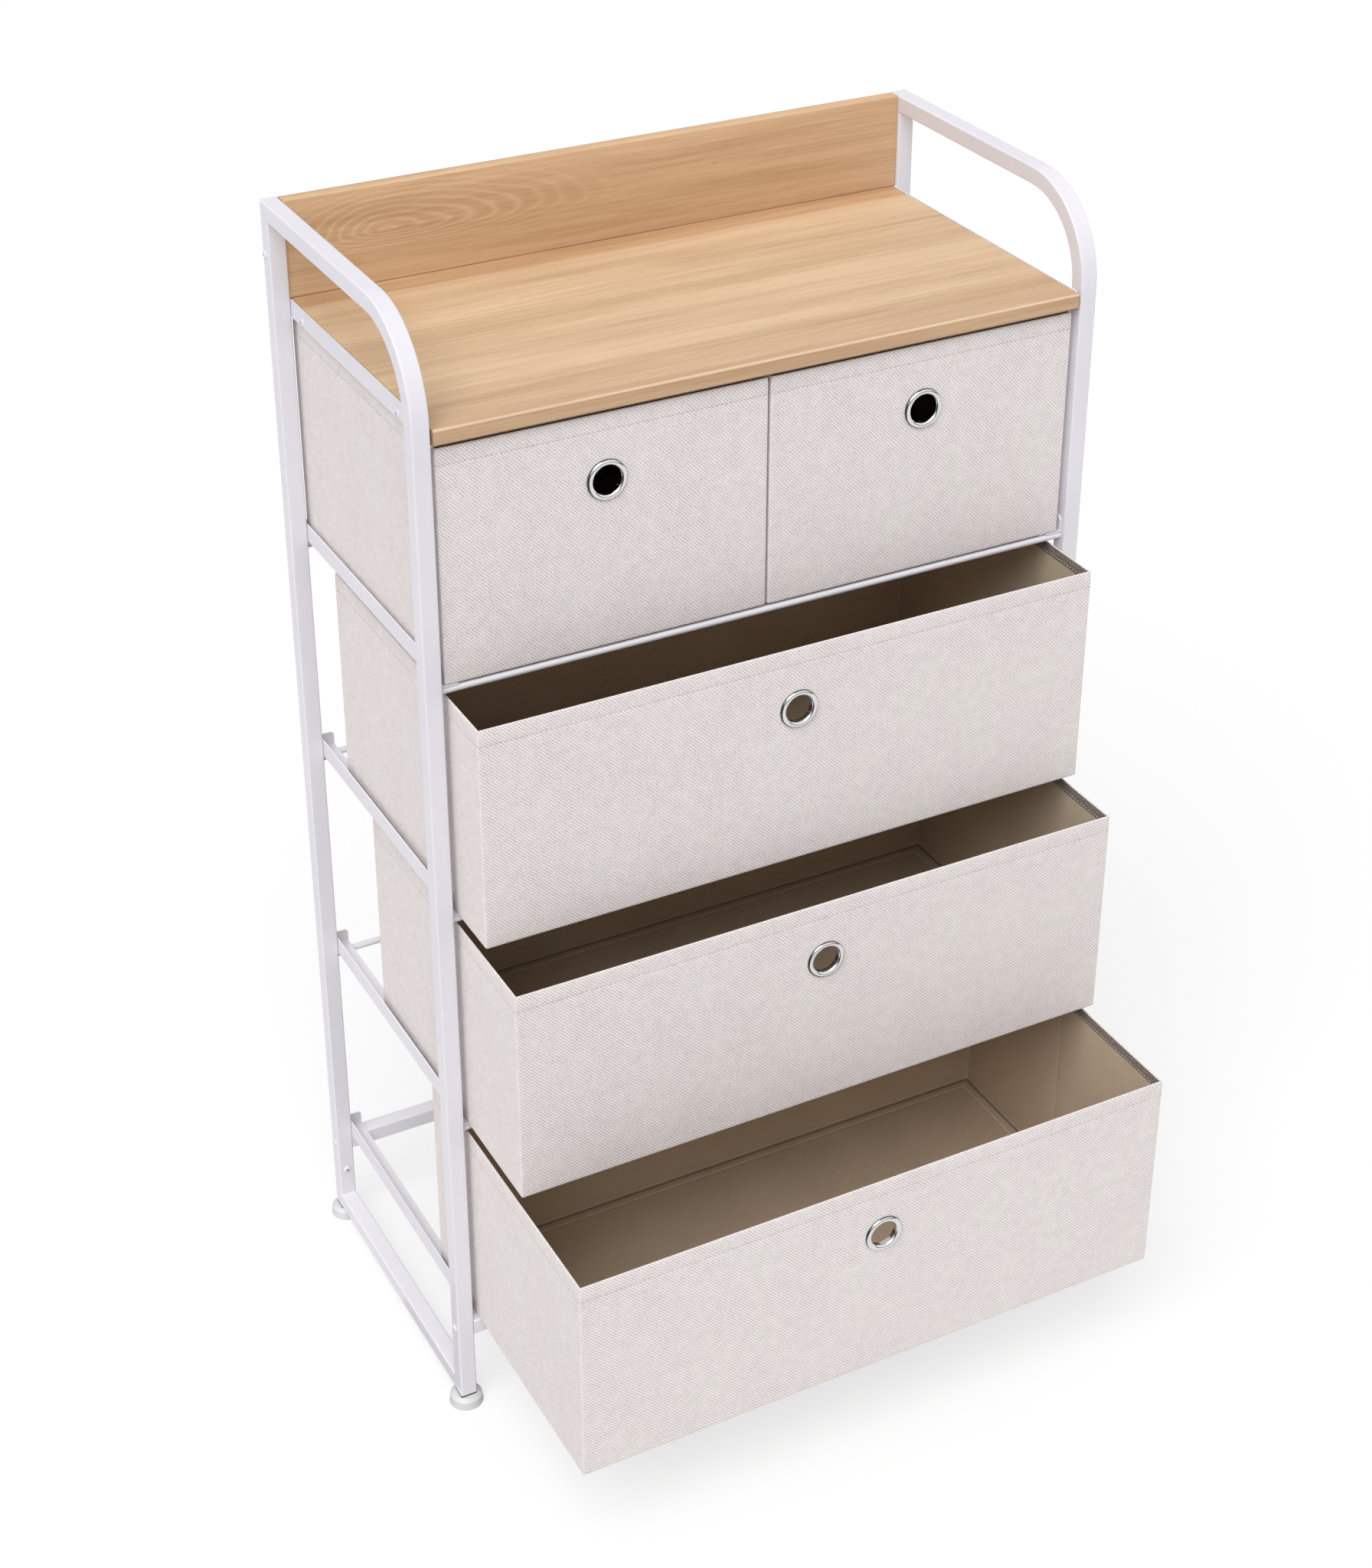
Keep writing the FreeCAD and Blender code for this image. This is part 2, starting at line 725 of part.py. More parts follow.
def front_board(name, span, x, front, level):
    """Stiff board in the front wall, bored for the grommet."""
    corner = (
        f"{x} - {span} / 2 + cover_cloth",
        f"{front} + cover_cloth",
        f"{level} + cover_cloth + base_board",
    )
    size = (f"{span} - 2 * cover_cloth", "board", "drawer_height - 2 * cover_cloth - base_board")
    plain = box(f"{name}_front_plain", corner, size)
    return cut(f"{name}_front_board", plain, finger_bore(f"{name}_board_bore", x, front, level))


def boards(name, span, x, front, level):
    """Base board on the bottom of the cover, and the back and side boards that stand on it."""
    low = f"{level} + cover_cloth"
    stand = f"{low} + base_board"
    tall = "drawer_height - 2 * cover_cloth - base_board"
    left = f"{x} - {span} / 2 + cover_cloth"
    right = f"{x} + {span} / 2 - cover_cloth - board"
    near = f"{front} + cover_cloth"
    far = f"{front} + drawer_depth - cover_cloth - board"
    across = f"{span} - 2 * cover_cloth"
    along = ("board", "drawer_depth - 2 * cover_cloth - 2 * board", tall)
    walls = [
        box(f"{name}_base", (left, near, low), (across, "drawer_depth - 2 * cover_cloth", "base_board")),
        box(f"{name}_back_board", (left, far, stand), (across, "board", tall)),
        box(f"{name}_left_board", (left, f"{near} + board", stand), along),
        box(f"{name}_right_board", (right, f"{near} + board", stand), along),
    ]
    return compound(f"{name}_boards", walls)


def lining(name, span, x, front, level):
    """Open cloth box inside the boards, its rim under the cover's fold."""
    skin = "(cover_cloth + board)"
    inner = "(cover_cloth + board + lining_cloth)"
    skin_low = "(cover_cloth + base_board)"
    low = f"{level} + {skin_low}"
    solid = box(
        f"{name}_lining_solid",
        (f"{x} - {span} / 2 + {skin}", f"{front} + {skin}", low),
        (f"{span} - 2 * {skin}", f"drawer_depth - 2 * {skin}", f"drawer_height - {skin_low} - cover_cloth"),
    )
    room = box(
        f"{name}_lining_room",
        (f"{x} - {span} / 2 + {inner}", f"{front} + {inner}", f"{low} + lining_cloth"),
        (f"{span} - 2 * {inner}", f"drawer_depth - 2 * {inner}", "drawer_height"),
    )
    shell = cut(f"{name}_lining_shell", solid, room)
    return cut(f"{name}_lining", shell, finger_bore(f"{name}_lining_bore", x, front, level))


def grommet(name, x, front, level):
    """Metal eyelet of the finger hole: domed front, barrel and washer behind the wall."""
    body = new_body(f"{name}_grommet")
    place(body, x, front, f"{level} + drawer_height - grommet_drop")
    profile = sketch(body, "profile", "YZ_Plane")
    wall = "(cover_cloth + board + lining_cloth)"
    half = "((grommet_radius - grommet_hole) / 2)"
    dome = f"(({half} ^ 2 + grommet_dome ^ 2) / (2 * grommet_dome))"
    outline(
        profile,
        [
            ("0", "grommet_hole"),
            (f"{wall} + grommet_back", "grommet_hole"),
            (f"{wall} + grommet_back", "grommet_back_radius"),
            (wall, "grommet_back_radius"),
            (wall, "grommet_barrel"),
            ("0", "grommet_barrel"),
            ("0", "grommet_radius", dome),
        ],
    )
    revolve(profile, "H_Axis")
    return body


def drawer(name, span, x, number_from_top, pull):
    """The five pieces of a fabric drawer."""
    level = tier(number_from_top)
    front = f"(-depth / 2 + drawer_setback - {pull})"
    return [
        cover(name, span, x, front, level),
        lining(name, span, x, front, level),
        front_board(name, span, x, front, level),
        boards(name, span, x, front, level),
        grommet(name, x, front, level),
    ]


# Frame
for left_piece in (rear_post(), hoop(), bottom_rail(), top_support()):
    both_sides(left_piece)
for tier_number in range(1, TIERS + 1):
    both_sides(runner(tier_number))
for tier_number in ROD_TIERS:
    pieces.append(rod(f"front_rod_{tier_number}", tier_number, f"-{POST_Y}"))
    pieces.append(rod(f"rear_rod_{tier_number}", tier_number, POST_Y))
pieces.append(crossbar("front_crossbar", f"-{POST_Y}"))
pieces.append(crossbar("rear_crossbar", POST_Y))
pieces += [centre_runner(), top_panel(), back_panel()]
pieces += fasteners()

# Feet and plugs
upright = turned(Z_AXIS, 0)
corners = {
    "front_left": (POST_X, f"-{POST_Y}"),
    "front_right": (f"-{POST_X}", f"-{POST_Y}"),
    "rear_left": (POST_X, POST_Y),
    "rear_right": (f"-{POST_X}", POST_Y),
}
pieces.append(copies("post_plugs", plug(), [(upright, x, y, "foot_height") for x, y in corners.values()]))
pieces += [foot(f"{corner}_foot", x, y) for corner, (x, y) in corners.items()]

# Drawers
half_x = "((half_drawer + half_gap) / 2)"
pieces += drawer("top_left", "half_drawer", f"-{half_x}", 1, "closed_pull")
pieces += drawer("top_right", "half_drawer", half_x, 1, "closed_pull")
pieces += drawer("upper", "wide_drawer", "0", 2, "upper_pull")
pieces += drawer("middle", "wide_drawer", "0", 3, "middle_pull")
pieces += drawer("lower", "wide_drawer", "0", 4, "lower_pull")

# Checks and files
doc.recompute()
for thing in doc.Objects:
    if "Invalid" in thing.State or "Error" in thing.State:
        raise RuntimeError(f"{thing.Label} did not build: {thing.State}")
for piece in pieces:
    if piece.Shape.isNull() or not piece.Shape.isValid():
        raise RuntimeError(f"{piece.Label} has no valid shape")
os.makedirs("parts", exist_ok=True)
for piece in pieces:
    piece.Shape.exportStep(f"parts/{piece.Label}.step")
print(f"{len(pieces)} pieces written")
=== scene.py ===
# %% [markdown]
# # A dresser with fabric drawers
# The dresser is a white steel frame with a wooden top and five cloth drawers. Steel, wood, screws
# and eyelets come from the CAD model as they are and only get finishes here. The cloth is made new,
# because a sewn cover is a thin sheet with folds, seams and stitches, which solids show poorly.

# %% Load the frame
import json
import math

import bmesh
import bpy
import numpy as np
from mathutils import Matrix, Vector


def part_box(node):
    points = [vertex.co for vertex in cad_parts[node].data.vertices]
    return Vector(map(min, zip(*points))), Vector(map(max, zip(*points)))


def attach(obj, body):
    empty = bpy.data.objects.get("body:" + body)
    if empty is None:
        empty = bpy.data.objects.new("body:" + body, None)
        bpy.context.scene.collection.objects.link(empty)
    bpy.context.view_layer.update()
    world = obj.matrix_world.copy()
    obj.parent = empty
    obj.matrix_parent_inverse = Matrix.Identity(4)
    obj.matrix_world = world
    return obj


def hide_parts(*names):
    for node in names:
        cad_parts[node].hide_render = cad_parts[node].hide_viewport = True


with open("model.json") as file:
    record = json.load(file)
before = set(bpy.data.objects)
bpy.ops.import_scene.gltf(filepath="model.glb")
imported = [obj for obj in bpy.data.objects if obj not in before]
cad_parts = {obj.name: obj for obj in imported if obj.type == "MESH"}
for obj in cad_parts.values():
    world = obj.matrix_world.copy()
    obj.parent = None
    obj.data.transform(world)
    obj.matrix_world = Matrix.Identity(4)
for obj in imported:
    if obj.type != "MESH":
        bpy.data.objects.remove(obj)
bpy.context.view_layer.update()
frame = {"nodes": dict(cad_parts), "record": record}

MM = 0.001

# %% [markdown]
# ## Where the drawers are
# Each drawer is a box of cloth over stiff boards. Its place and size could be typed in again, but
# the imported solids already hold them, so every measure below is read from the boxes of the nodes.

# %% Read the drawers
DRAWERS = ("top_left", "top_right", "upper", "middle", "lower")


def drawer_sizes(name):
    """Half sizes across, height, middle of the underside and eyelet height of a drawer.

    A half size is half the difference of its box's corners, and a middle is half their sum.
    """
    low, high = (np.array(corner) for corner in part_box(f"{name}_cover"))
    eyelet_low, eyelet_high = (np.array(corner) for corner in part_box(f"{name}_grommet"))
    half = (high - low)[:2] / 2
    foot = np.array([*(low + high)[:2] / 2, low[2]])
    return half, high[2] - low[2], foot, (eyelet_low + eyelet_high)[2] / 2 - low[2]


SIZES = {name: drawer_sizes(name) for name in DRAWERS}
for name, (half, height, foot, eyelet) in SIZES.items():
    print(name, "half sizes", np.round(half / MM, 1), "height", round(height / MM, 1))

# %% [markdown]
# ## A path round a drawer
# The cloth runs round the drawer as one band, so its shape is a profile carried round a rounded
# rectangle. The loop is a core rectangle plus outward directions: moved inwards, it shrinks to a
# line in the middle of the base, which closes the bottom with no extra patch.

# %% Path helpers
GRID = 13 * MM
EDGE, CORNER_ROOM, CORNER_STEPS = 1.5 * MM, 4 * MM, 5
HOLE_RADIUS, WINDOW = 13.35 * MM, 26 * MM
ROUNDING = 1e-6


def stations(stops):
    """Positions along a run: each stretch between two stops in equal parts of at most one grid."""
    stops = np.asarray(stops, float)
    counts = np.ceil((stops[1:] - stops[:-1]) / GRID - ROUNDING).astype(int)
    parts = [np.linspace(a, b, n, endpoint=False) for a, b, n in zip(stops, stops[1:], counts)]
    return np.concatenate([*parts, stops[-1:]])


def drawer_loop(half, radius, room, folds=()):
    """Closed loop from the back left corner by the left, front, right and back sides.

    A point is its foot on the core rectangle (the half sizes less the radius) plus the radius
    times its outward direction. On a side the direction is square to it, and in a corner it
    turns by 90 degrees. The sides have stops near the corners, at the window and at the folds.
    """
    core, ends = half - radius, half - room
    xs = stations([-core[0], -ends[0], -WINDOW, WINDOW, ends[0], core[0]])
    ys = stations([-core[1], -ends[1], *folds, ends[1], core[1]])
    turn = np.linspace(0, math.pi / 2, CORNER_STEPS + 1)[1:-1]
    sides = (
        (-core[0], ys[::-1], math.pi), (xs, -core[1], 1.5 * math.pi),
        (core[0], ys, 0), (xs[::-1], core[1], 0.5 * math.pi),
    )
    feet, angles = [], []
    for x, y, angle in sides:
        run = np.column_stack(np.broadcast_arrays(x, y))
        feet += [run, np.repeat(run[-1:], len(turn), axis=0)]
        angles += [np.full(len(run), angle), angle + turn]
    foot, angle = np.concatenate(feet), np.concatenate(angles)
    way = np.column_stack([np.cos(angle), np.sin(angle)])
    points = foot + radius * way
    steps = np.linalg.norm(np.roll(points, -1, axis=0) - points, axis=1)
    length = np.concatenate([[0], np.cumsum(steps)])
    return {"foot": foot, "way": way, "half": half, "radius": radius, "length": length}


def inset_loop(loop, inset):
    """The loop moved inwards: the core shrinks once the inset is larger than the corner radius."""
    inset = np.asarray(inset, float)[..., None]
    core = loop["half"] - loop["radius"]
    shrink = (loop["half"] - np.maximum(inset, loop["radius"])) / core
    return loop["foot"] * shrink + np.maximum(loop["radius"] - inset, 0) * loop["way"]


test_loop = drawer_loop(SIZES["lower"][0], EDGE, CORNER_ROOM)
print("round the lower drawer in mm:", round(test_loop["length"][-1] / MM, 1))

# %% [markdown]
# ## From grid to mesh
# A sheet has one opening, the finger hole in its front. A boolean would leave ragged triangles, so
# a square window is left out of the grid and filled with rings that go over from the square to the
# circle. All faces stay quads, and the weave's map runs on across them.

# %% Mesh helpers
HOLE_RINGS = 5
CROWDING = 1.4
MERGE, SLIVER = 0.02 * MM, 0.01 * MM


def window_edge(numbers):
    """Point numbers round a window of the grid: along its foot, up, back along its top, down."""
    sides = numbers[0], numbers[:, -1], numbers[-1, ::-1], numbers[::-1, 0]
    return np.concatenate([side[:-1] for side in sides])


def hole_rings(edge, middle):
    """Rings between a round hole and a window's edge.

    Each edge point is joined to the hole's point in the same direction, and the rings divide that
    line, closer together near the hole. Depth follows the square of the same share.
    """
    offset = edge - middle
    angle = np.arctan2(offset[:, 2], offset[:, 0])
    rim = HOLE_RADIUS * np.column_stack([np.cos(angle), np.zeros_like(angle), np.sin(angle)])
    share = (np.arange(HOLE_RINGS) / HOLE_RINGS)[:, None, None] ** CROWDING
    return middle + rim + np.concatenate([share, share**2, share], axis=2) * (offset - rim)


def band_faces(numbers):
    """Quads between rows of point numbers whose last column joins the first."""
    after = np.roll(numbers, -1, axis=1)
    return np.stack([numbers[:-1], after[:-1], after[1:], numbers[1:]], axis=2)


def mesh_piece(name, points, faces, uv=None, marks=None, materials=()):
    """A smooth mesh object at the origin, with its doubles merged."""
    mesh = bpy.data.meshes.new(name)
    mesh.from_pydata(points.tolist(), [], [list(face) for face in faces])
    if uv is not None:
        layer = mesh.uv_layers.new(name="cloth")
        layer.data.foreach_set("uv", np.ascontiguousarray(uv, np.float32).ravel())
    if marks is not None:
        mesh.polygons.foreach_set("material_index", np.asarray(marks, np.int32))
    for material in materials:
        mesh.materials.append(material)
    shape = bmesh.new()
    shape.from_mesh(mesh)
    bmesh.ops.remove_doubles(shape, verts=shape.verts, dist=MERGE)
    bmesh.ops.dissolve_degenerate(shape, edges=shape.edges, dist=SLIVER)
    shape.to_mesh(mesh)
    shape.free()
    mesh.polygons.foreach_set("use_smooth", np.ones(len(mesh.polygons), bool))
    piece = bpy.data.objects.new(name, mesh)
    bpy.context.scene.collection.objects.link(piece)
    return piece


print("rings round a finger hole:", HOLE_RINGS)

# %% [markdown]
# ## One cloth shell
# Cover and lining are both a profile of insets and heights, carried round the loop. The base rows
# get a flat map, so the weave stays even there, and the wall rows are mapped by their length round
# the drawer and up the profile, in metres on the cloth.

# %% Shell helpers
SQUARE_ON = 0.999


def hole_window(loop, height, hole_z, base_rows):
    """Rows and columns of the points in the square window round the hole in the front wall."""
    wall = np.arange(len(height)) >= base_rows
    rows = np.flatnonzero(wall & (np.abs(height - hole_z) < WINDOW + SLIVER))
    front = loop["way"][:, 1] < -SQUARE_ON
    cols = np.flatnonzero(front & (np.abs(loop["foot"][:, 0]) < WINDOW + SLIVER))
    return rows, cols


def cloth_map(loop, inset, height, edge, flat, rings):
    """Length round the drawer and up the profile, for the grid's points and then the rings.

    The rings carry on from their window: place across and up, shifted as its first point is.
    """
    steps = np.hypot(np.diff(np.mean(inset, axis=1)), np.diff(height))
    along = np.concatenate([[0], np.cumsum(steps)])
    grid = np.stack(np.meshgrid(loop["length"][:-1], along), axis=2).reshape(-1, 2)
    shift = grid[edge[0]] - flat[edge[0]][[0, 2]]
    return np.concatenate([grid, rings[:, [0, 2]] + shift])


def cloth_shell(name, loop, profile, place, hole_z, base_rows, marks, materials, inward=False):
    """Sheet of cloth from a profile (insets, heights) carried round the loop.

    The last column ends the map at the loop's full length, and the base takes its map straight
    from its place.
    """
    inset, height = profile
    rows, columns = inset.shape
    upward = np.broadcast_to(height[:, None], inset.shape)
    flat = np.dstack([inset_loop(loop, inset), upward]).reshape(-1, 3)
    numbers = np.arange(rows * columns).reshape(rows, columns)
    faces = band_faces(numbers)
    lines, cols = hole_window(loop, height, hole_z, base_rows)
    keep = np.ones(faces.shape[:2], bool)
    keep[np.ix_(lines[:-1], cols[:-1])] = False
    edge = window_edge(numbers[np.ix_(lines, cols)])
    middle = np.array([0, -loop["half"][1], hole_z])
    rings = hole_rings(flat[edge], middle).reshape(-1, 3)
    everything = np.concatenate([flat, rings])
    ringed = len(flat) + np.arange(len(rings)).reshape(HOLE_RINGS, -1)
    patch = band_faces(np.concatenate([ringed, edge[None]])[::-1])[::-1].reshape(-1, 4)
    quads = np.concatenate([faces[keep], patch])
    uv = cloth_map(loop, inset, height, edge, flat, rings)[quads]
    row_of, col_of = np.nonzero(keep)
    last = np.flatnonzero(col_of == columns - 1)
    uv[last[:, None], [1, 2], 0] = loop["length"][-1]
    under = np.flatnonzero(row_of < base_rows)
    uv[under] = everything[quads[under]][..., :2]
    kinds = np.concatenate([marks[row_of], np.zeros(len(patch), int)])
    if inward:
        quads, uv = quads[:, ::-1], uv[:, ::-1]
    return mesh_piece(name, everything + place, quads, uv, kinds, materials)


def thicken(piece, thick):
    """Give a sheet its thickness, towards the board behind it."""
    sheet = piece.modifiers.new("cloth thickness", "SOLIDIFY")
    sheet.thickness, sheet.offset = thick, -1


print("finger hole radius in mm:", round(HOLE_RADIUS / MM, 2))

# %% [markdown]
# ## The slack of the cloth
# Cloth over card is never dead flat. Between its corners it stands off by a few tenths of a
# millimetre, and a little unevenly. A simulation would give the same few tenths after minutes of
# work, so a sum of slow waves that dies out at the corners, at the rim and at the foot does it.

# %% Slack
SLACK = 0.45 * MM
EVEN_SHARE = 0.62
# Share of the slack, radians per metre round the drawer, radians up the wall, share of the seed.
SLOW_WAVES = ((0.22, 41, 3, 1), (0.16, 17, -5, 2))


def slack(loop, height, tall, seed):
    """Outward stand-off: slow waves times a bump that is 0 on all four edges of a wall.

    Along the wall the bump is 1 less the fourth power of the share from its middle to its end.
    Up the wall it is half a sine wave, raised to the power 0.8 so that it is fuller.
    """
    core = loop["half"] - loop["radius"]
    beside = np.abs(loop["way"][:, 0]) > 0.5
    share = np.where(beside, loop["foot"][:, 1] / core[1], loop["foot"][:, 0] / core[0])
    up = np.clip(np.asarray(height) / tall, 0, 1)[:, None]
    waves = EVEN_SHARE
    for part, around, upward, shift in SLOW_WAVES:
        waves = waves + part * np.sin(loop["length"][:-1] * around + upward * up + shift * seed)
    return SLACK * (1 - share**4) * np.sin(math.pi * up) ** 0.8 * waves


print("largest stand-off in mm:", round(SLACK / MM, 2))

# %% [markdown]
# ## Stitches
# The rim is sewn down by a line of stitches. A bump map could fake them, but in a close view the
# thread has to stand on the cloth, so every stitch is a small bead of thread. One bead is worked
# out once and repeated along the loop with whole-array sums.

# %% Stitches
PITCH, STITCH = 4.2 * MM, 2.9 * MM
BEAD_SPOTS, BEAD_WIDTHS, BEAD_SIDES = np.array([-0.36, 0, 0.36]), np.array([0.8, 1, 0.8]), 6
STAND_UP = 0.35


def thread_bead(thick):
    """One stitch along its first axis: three rings of six points and two tips.

    A ring's radius is the thread's thickness times a share that falls off to the tips.
    """
    spots, width = BEAD_SPOTS * STITCH, thick * BEAD_WIDTHS
    ring = np.arange(BEAD_SIDES)
    turn = (ring + 1) % BEAD_SIDES
    angle = ring * math.pi / (BEAD_SIDES / 2)
    rings = np.stack([
        np.repeat(spots[:, None], BEAD_SIDES, axis=1),
        width[:, None] * np.cos(angle),
        width[:, None] * np.sin(angle),
    ], axis=2).reshape(-1, 3)
    points = np.concatenate([rings, [[-STITCH / 2, 0, 0], [STITCH / 2, 0, 0]]])
    sides = band_faces(np.arange(len(rings)).reshape(-1, BEAD_SIDES))[..., [0, 3, 2, 1]]
    last, tip = len(rings) - BEAD_SIDES, np.full(BEAD_SIDES, len(rings))
    ends = [ring, turn, tip], [last + turn, last + ring, tip + 1]
    tips = np.concatenate([np.column_stack(end) for end in ends])
    return points, sides.reshape(-1, 4), tips


def stitch_line(name, loop, inset, height, place, thick, outward, thread):
    """Beads at equal steps round the loop, each lying along it and partly sunk into the cloth."""
    around = loop["length"]
    count = int(around[-1] / PITCH)
    spots = (np.arange(count) + 0.5) * around[-1] / count

    def at_spots(values):
        """Values of the loop's points, read off at the stitches."""
        closed = np.concatenate([values, values[:1]])
        return np.column_stack([np.interp(spots, around, column) for column in closed.T])

    middle, way = at_spots(inset_loop(loop, inset)[0]), at_spots(loop["way"])
    way /= np.linalg.norm(way, axis=1, keepdims=True)
    along = np.column_stack([-way[:, 1], way[:, 0], np.zeros(count)])
    out = np.column_stack([way, np.zeros(count)])
    up = np.array([0, 0, 1.0])
    bead, sides, tips = thread_bead(thick)
    centre = np.column_stack([middle, np.full(count, height)]) + outward * STAND_UP * thick * out
    lengthwise, crosswise = bead[:, :1] * along[:, None], bead[:, 1:2] * out[:, None]
    points = centre[:, None] + lengthwise + crosswise + bead[:, 2:] * up
    first = (np.arange(count) * len(bead))[:, None, None]
    faces = (sides + first).reshape(-1, 4).tolist() + (tips + first).reshape(-1, 3).tolist()
    return mesh_piece(name, points.reshape(-1, 3) + place, faces, materials=(thread,))


print("stitch length and pitch in mm:", round(STITCH / MM, 1), round(PITCH / MM, 1))

# %% [markdown]
# ## Node helpers
# Finishes are built from nodes in code, and short helpers keep the lines readable. Every finish
# ends in a colour, a roughness and a height for the relief, so one function wires them all.

# %% Node helpers
FLOAT, COLOUR, VECTOR = "NodeSocketFloat", "NodeSocketColor", "NodeSocketVector"
RESULTS = (("Colour", COLOUR), ("Height", FLOAT), ("Roughness", FLOAT))


def add(tree, kind, wires=None, **settings):
    """A new node; a wire is a socket to link or a plain value to set."""
    made = tree.nodes.new(kind)
    for key, value in settings.items():
        setattr(made, key, value)
    for key, value in (wires or {}).items():
        if isinstance(value, bpy.types.NodeSocket):
            tree.links.new(value, made.inputs[key])
        else:
            made.inputs[key].default_value = value
    return made


def calc(tree, operation, first, second=0.0, third=0.0, clamp=False):
    """Result of a sum of up to three numbers or sockets."""
    wires = {0: first, 1: second, 2: third}
    return add(tree, "ShaderNodeMath", wires, operation=operation, use_clamp=clamp).outputs[0]


def distance(tree, first, second):
    """Root of the sum of two squared offsets."""
    square = calc(tree, "MULTIPLY", second, second)
    return calc(tree, "SQRT", calc(tree, "MULTIPLY_ADD", first, first, square))


def vector_calc(tree, operation, wires, result=0):
    """Result of a sum of vectors."""
    return add(tree, "ShaderNodeVectorMath", wires, operation=operation).outputs[result]


def stretched(tree, vector, scale):
    """A vector times a scale on each axis."""
    return vector_calc(tree, "MULTIPLY", {0: vector, 1: scale})


def axes_of(tree, vector):
    """The three numbers of a vector."""
    return add(tree, "ShaderNodeSeparateXYZ", {0: vector}).outputs


def object_place(tree):
    """Place of a point in metres, on the object's own axes."""
    return add(tree, "ShaderNodeTexCoord").outputs["Object"]


def cloth_place(tree):
    """Place of a point in metres, on the map of the cloth."""
    return add(tree, "ShaderNodeUVMap", uv_map="cloth").outputs[0]


def blend(tree, share, first, second, way="MIX"):
    """Colour between two colours."""
    wires = {0: share, 6: first, 7: second}
    return add(tree, "ShaderNodeMix", wires, data_type="RGBA", blend_type=way).outputs[2]


def noise(tree, vector, detail=2.0, scale=1.0, rough=0.5):
    """Value of a noise texture at a vector."""
    wires = {"Vector": vector, "Scale": scale, "Detail": detail, "Roughness": rough}
    return add(tree, "ShaderNodeTexNoise", wires).outputs[0]


def ramp(tree, value, low, high, first=0.0, last=1.0):
    """Value carried from one range to another, smooth at both ends."""
    wires = {0: value, 1: low, 2: high, 3: first, 4: last}
    return add(tree, "ShaderNodeMapRange", wires, interpolation_type="SMOOTHSTEP").outputs[0]


def new_group(name, inputs):
    """An empty shader node group with inputs: (name, kind) or (name, kind, value)."""
    group = bpy.data.node_groups.new(name, "ShaderNodeTree")
    for label, kind, *value in inputs:
        socket = group.interface.new_socket(label, in_out="INPUT", socket_type=kind)
        if value:
            socket.default_value = value[0]
    for label, kind in RESULTS:
        group.interface.new_socket(label, in_out="OUTPUT", socket_type=kind)
    ends = group.nodes.new("NodeGroupInput"), group.nodes.new("NodeGroupOutput")
    return group, ends[0].outputs, ends[1].inputs


def give(group, ends, *results):
    """Link a group's colour, height and roughness to its outputs."""
    for result, end in zip(results, ends):
        group.links.new(result, end)


def new_finish(name, group, place, wires, relief, values, paints=()):
    """A material with a group's colour, roughness and relief (strength, depth).

    Plain numbers go straight onto the shader's sockets. A paint is a function with its settings,
    and the paints change the colour one after the other.
    """
    material = bpy.data.materials.new(name)
    material.use_nodes = True
    tree = material.node_tree
    shader = tree.nodes["Principled BSDF"].inputs
    for key, value in dict(values).items():
        shader[key].default_value = value
    spot = place(tree)
    made = add(tree, "ShaderNodeGroup", {"Place": spot, **wires}, node_tree=group).outputs
    colour = made["Colour"]
    for paint, *settings in paints:
        colour = paint(tree, colour, spot, *settings)
    bump = {"Strength": relief[0], "Distance": relief[1], "Height": made["Height"]}
    tree.links.new(colour, shader["Base Color"])
    tree.links.new(made["Roughness"], shader["Roughness"])
    tree.links.new(add(tree, "ShaderNodeBump", bump).outputs[0], shader["Normal"])
    return material


print("each finish group gives:", [label for label, kind in RESULTS])

# %% [markdown]
# ## The weave
# The covers are a coarse weave of pale yarn with darker, mauve-grey yarn showing between. Close up
# it reads as rows of small dark dots, clearer along one diagonal. A picture of cloth would repeat,
# so the dots are the tops of two crossed waves in the cloth's own map, whose yarn wavers and whose
# dots grow and shrink.

# %% Weave group
ROW_CYCLES, ROW_SHARE = (0.325, 0.317), 0.56
CROSS_CYCLES, CROSS_SHARE = (0.384, -0.300), 0.44
WAVER, WAVER_PER_MM = (1.5, 1.5, 0), 0.13
weave, cloth_in, cloth_out = new_group(
    "dotted_weave",
    [("Place", VECTOR), ("Coarse", FLOAT, 1.0), ("Yarn", COLOUR), ("Gap", COLOUR),
     ("Warm", COLOUR), ("Cool", COLOUR)],
)
per_mm = calc(weave, "DIVIDE", 1000.0, cloth_in["Coarse"])
millimetres = vector_calc(weave, "SCALE", {0: cloth_in["Place"], "Scale": per_mm})
waver = {"Vector": millimetres, "Scale": WAVER_PER_MM, "Detail": 3.0}
waver = add(weave, "ShaderNodeTexNoise", waver).outputs[1]
off = vector_calc(weave, "SUBTRACT", {0: waver, 1: (0.5, 0.5, 0.5)})
yarns = vector_calc(weave, "MULTIPLY_ADD", {0: off, 1: WAVER, 2: millimetres})


def crossed_wave(cycles):
    """Cosine over the cloth with so many cycles to the millimetre across and up."""
    turn = (2 * math.pi * cycles[0], 2 * math.pi * cycles[1], 0)
    return calc(weave, "COSINE", vector_calc(weave, "DOT_PRODUCT", {0: yarns, 1: turn}, "Value"))


def cloth_noise(across, up, detail):
    """Noise with so many cells to the millimetre across and up the cloth."""
    return noise(weave, stretched(weave, millimetres, (across, up, 0)), detail)


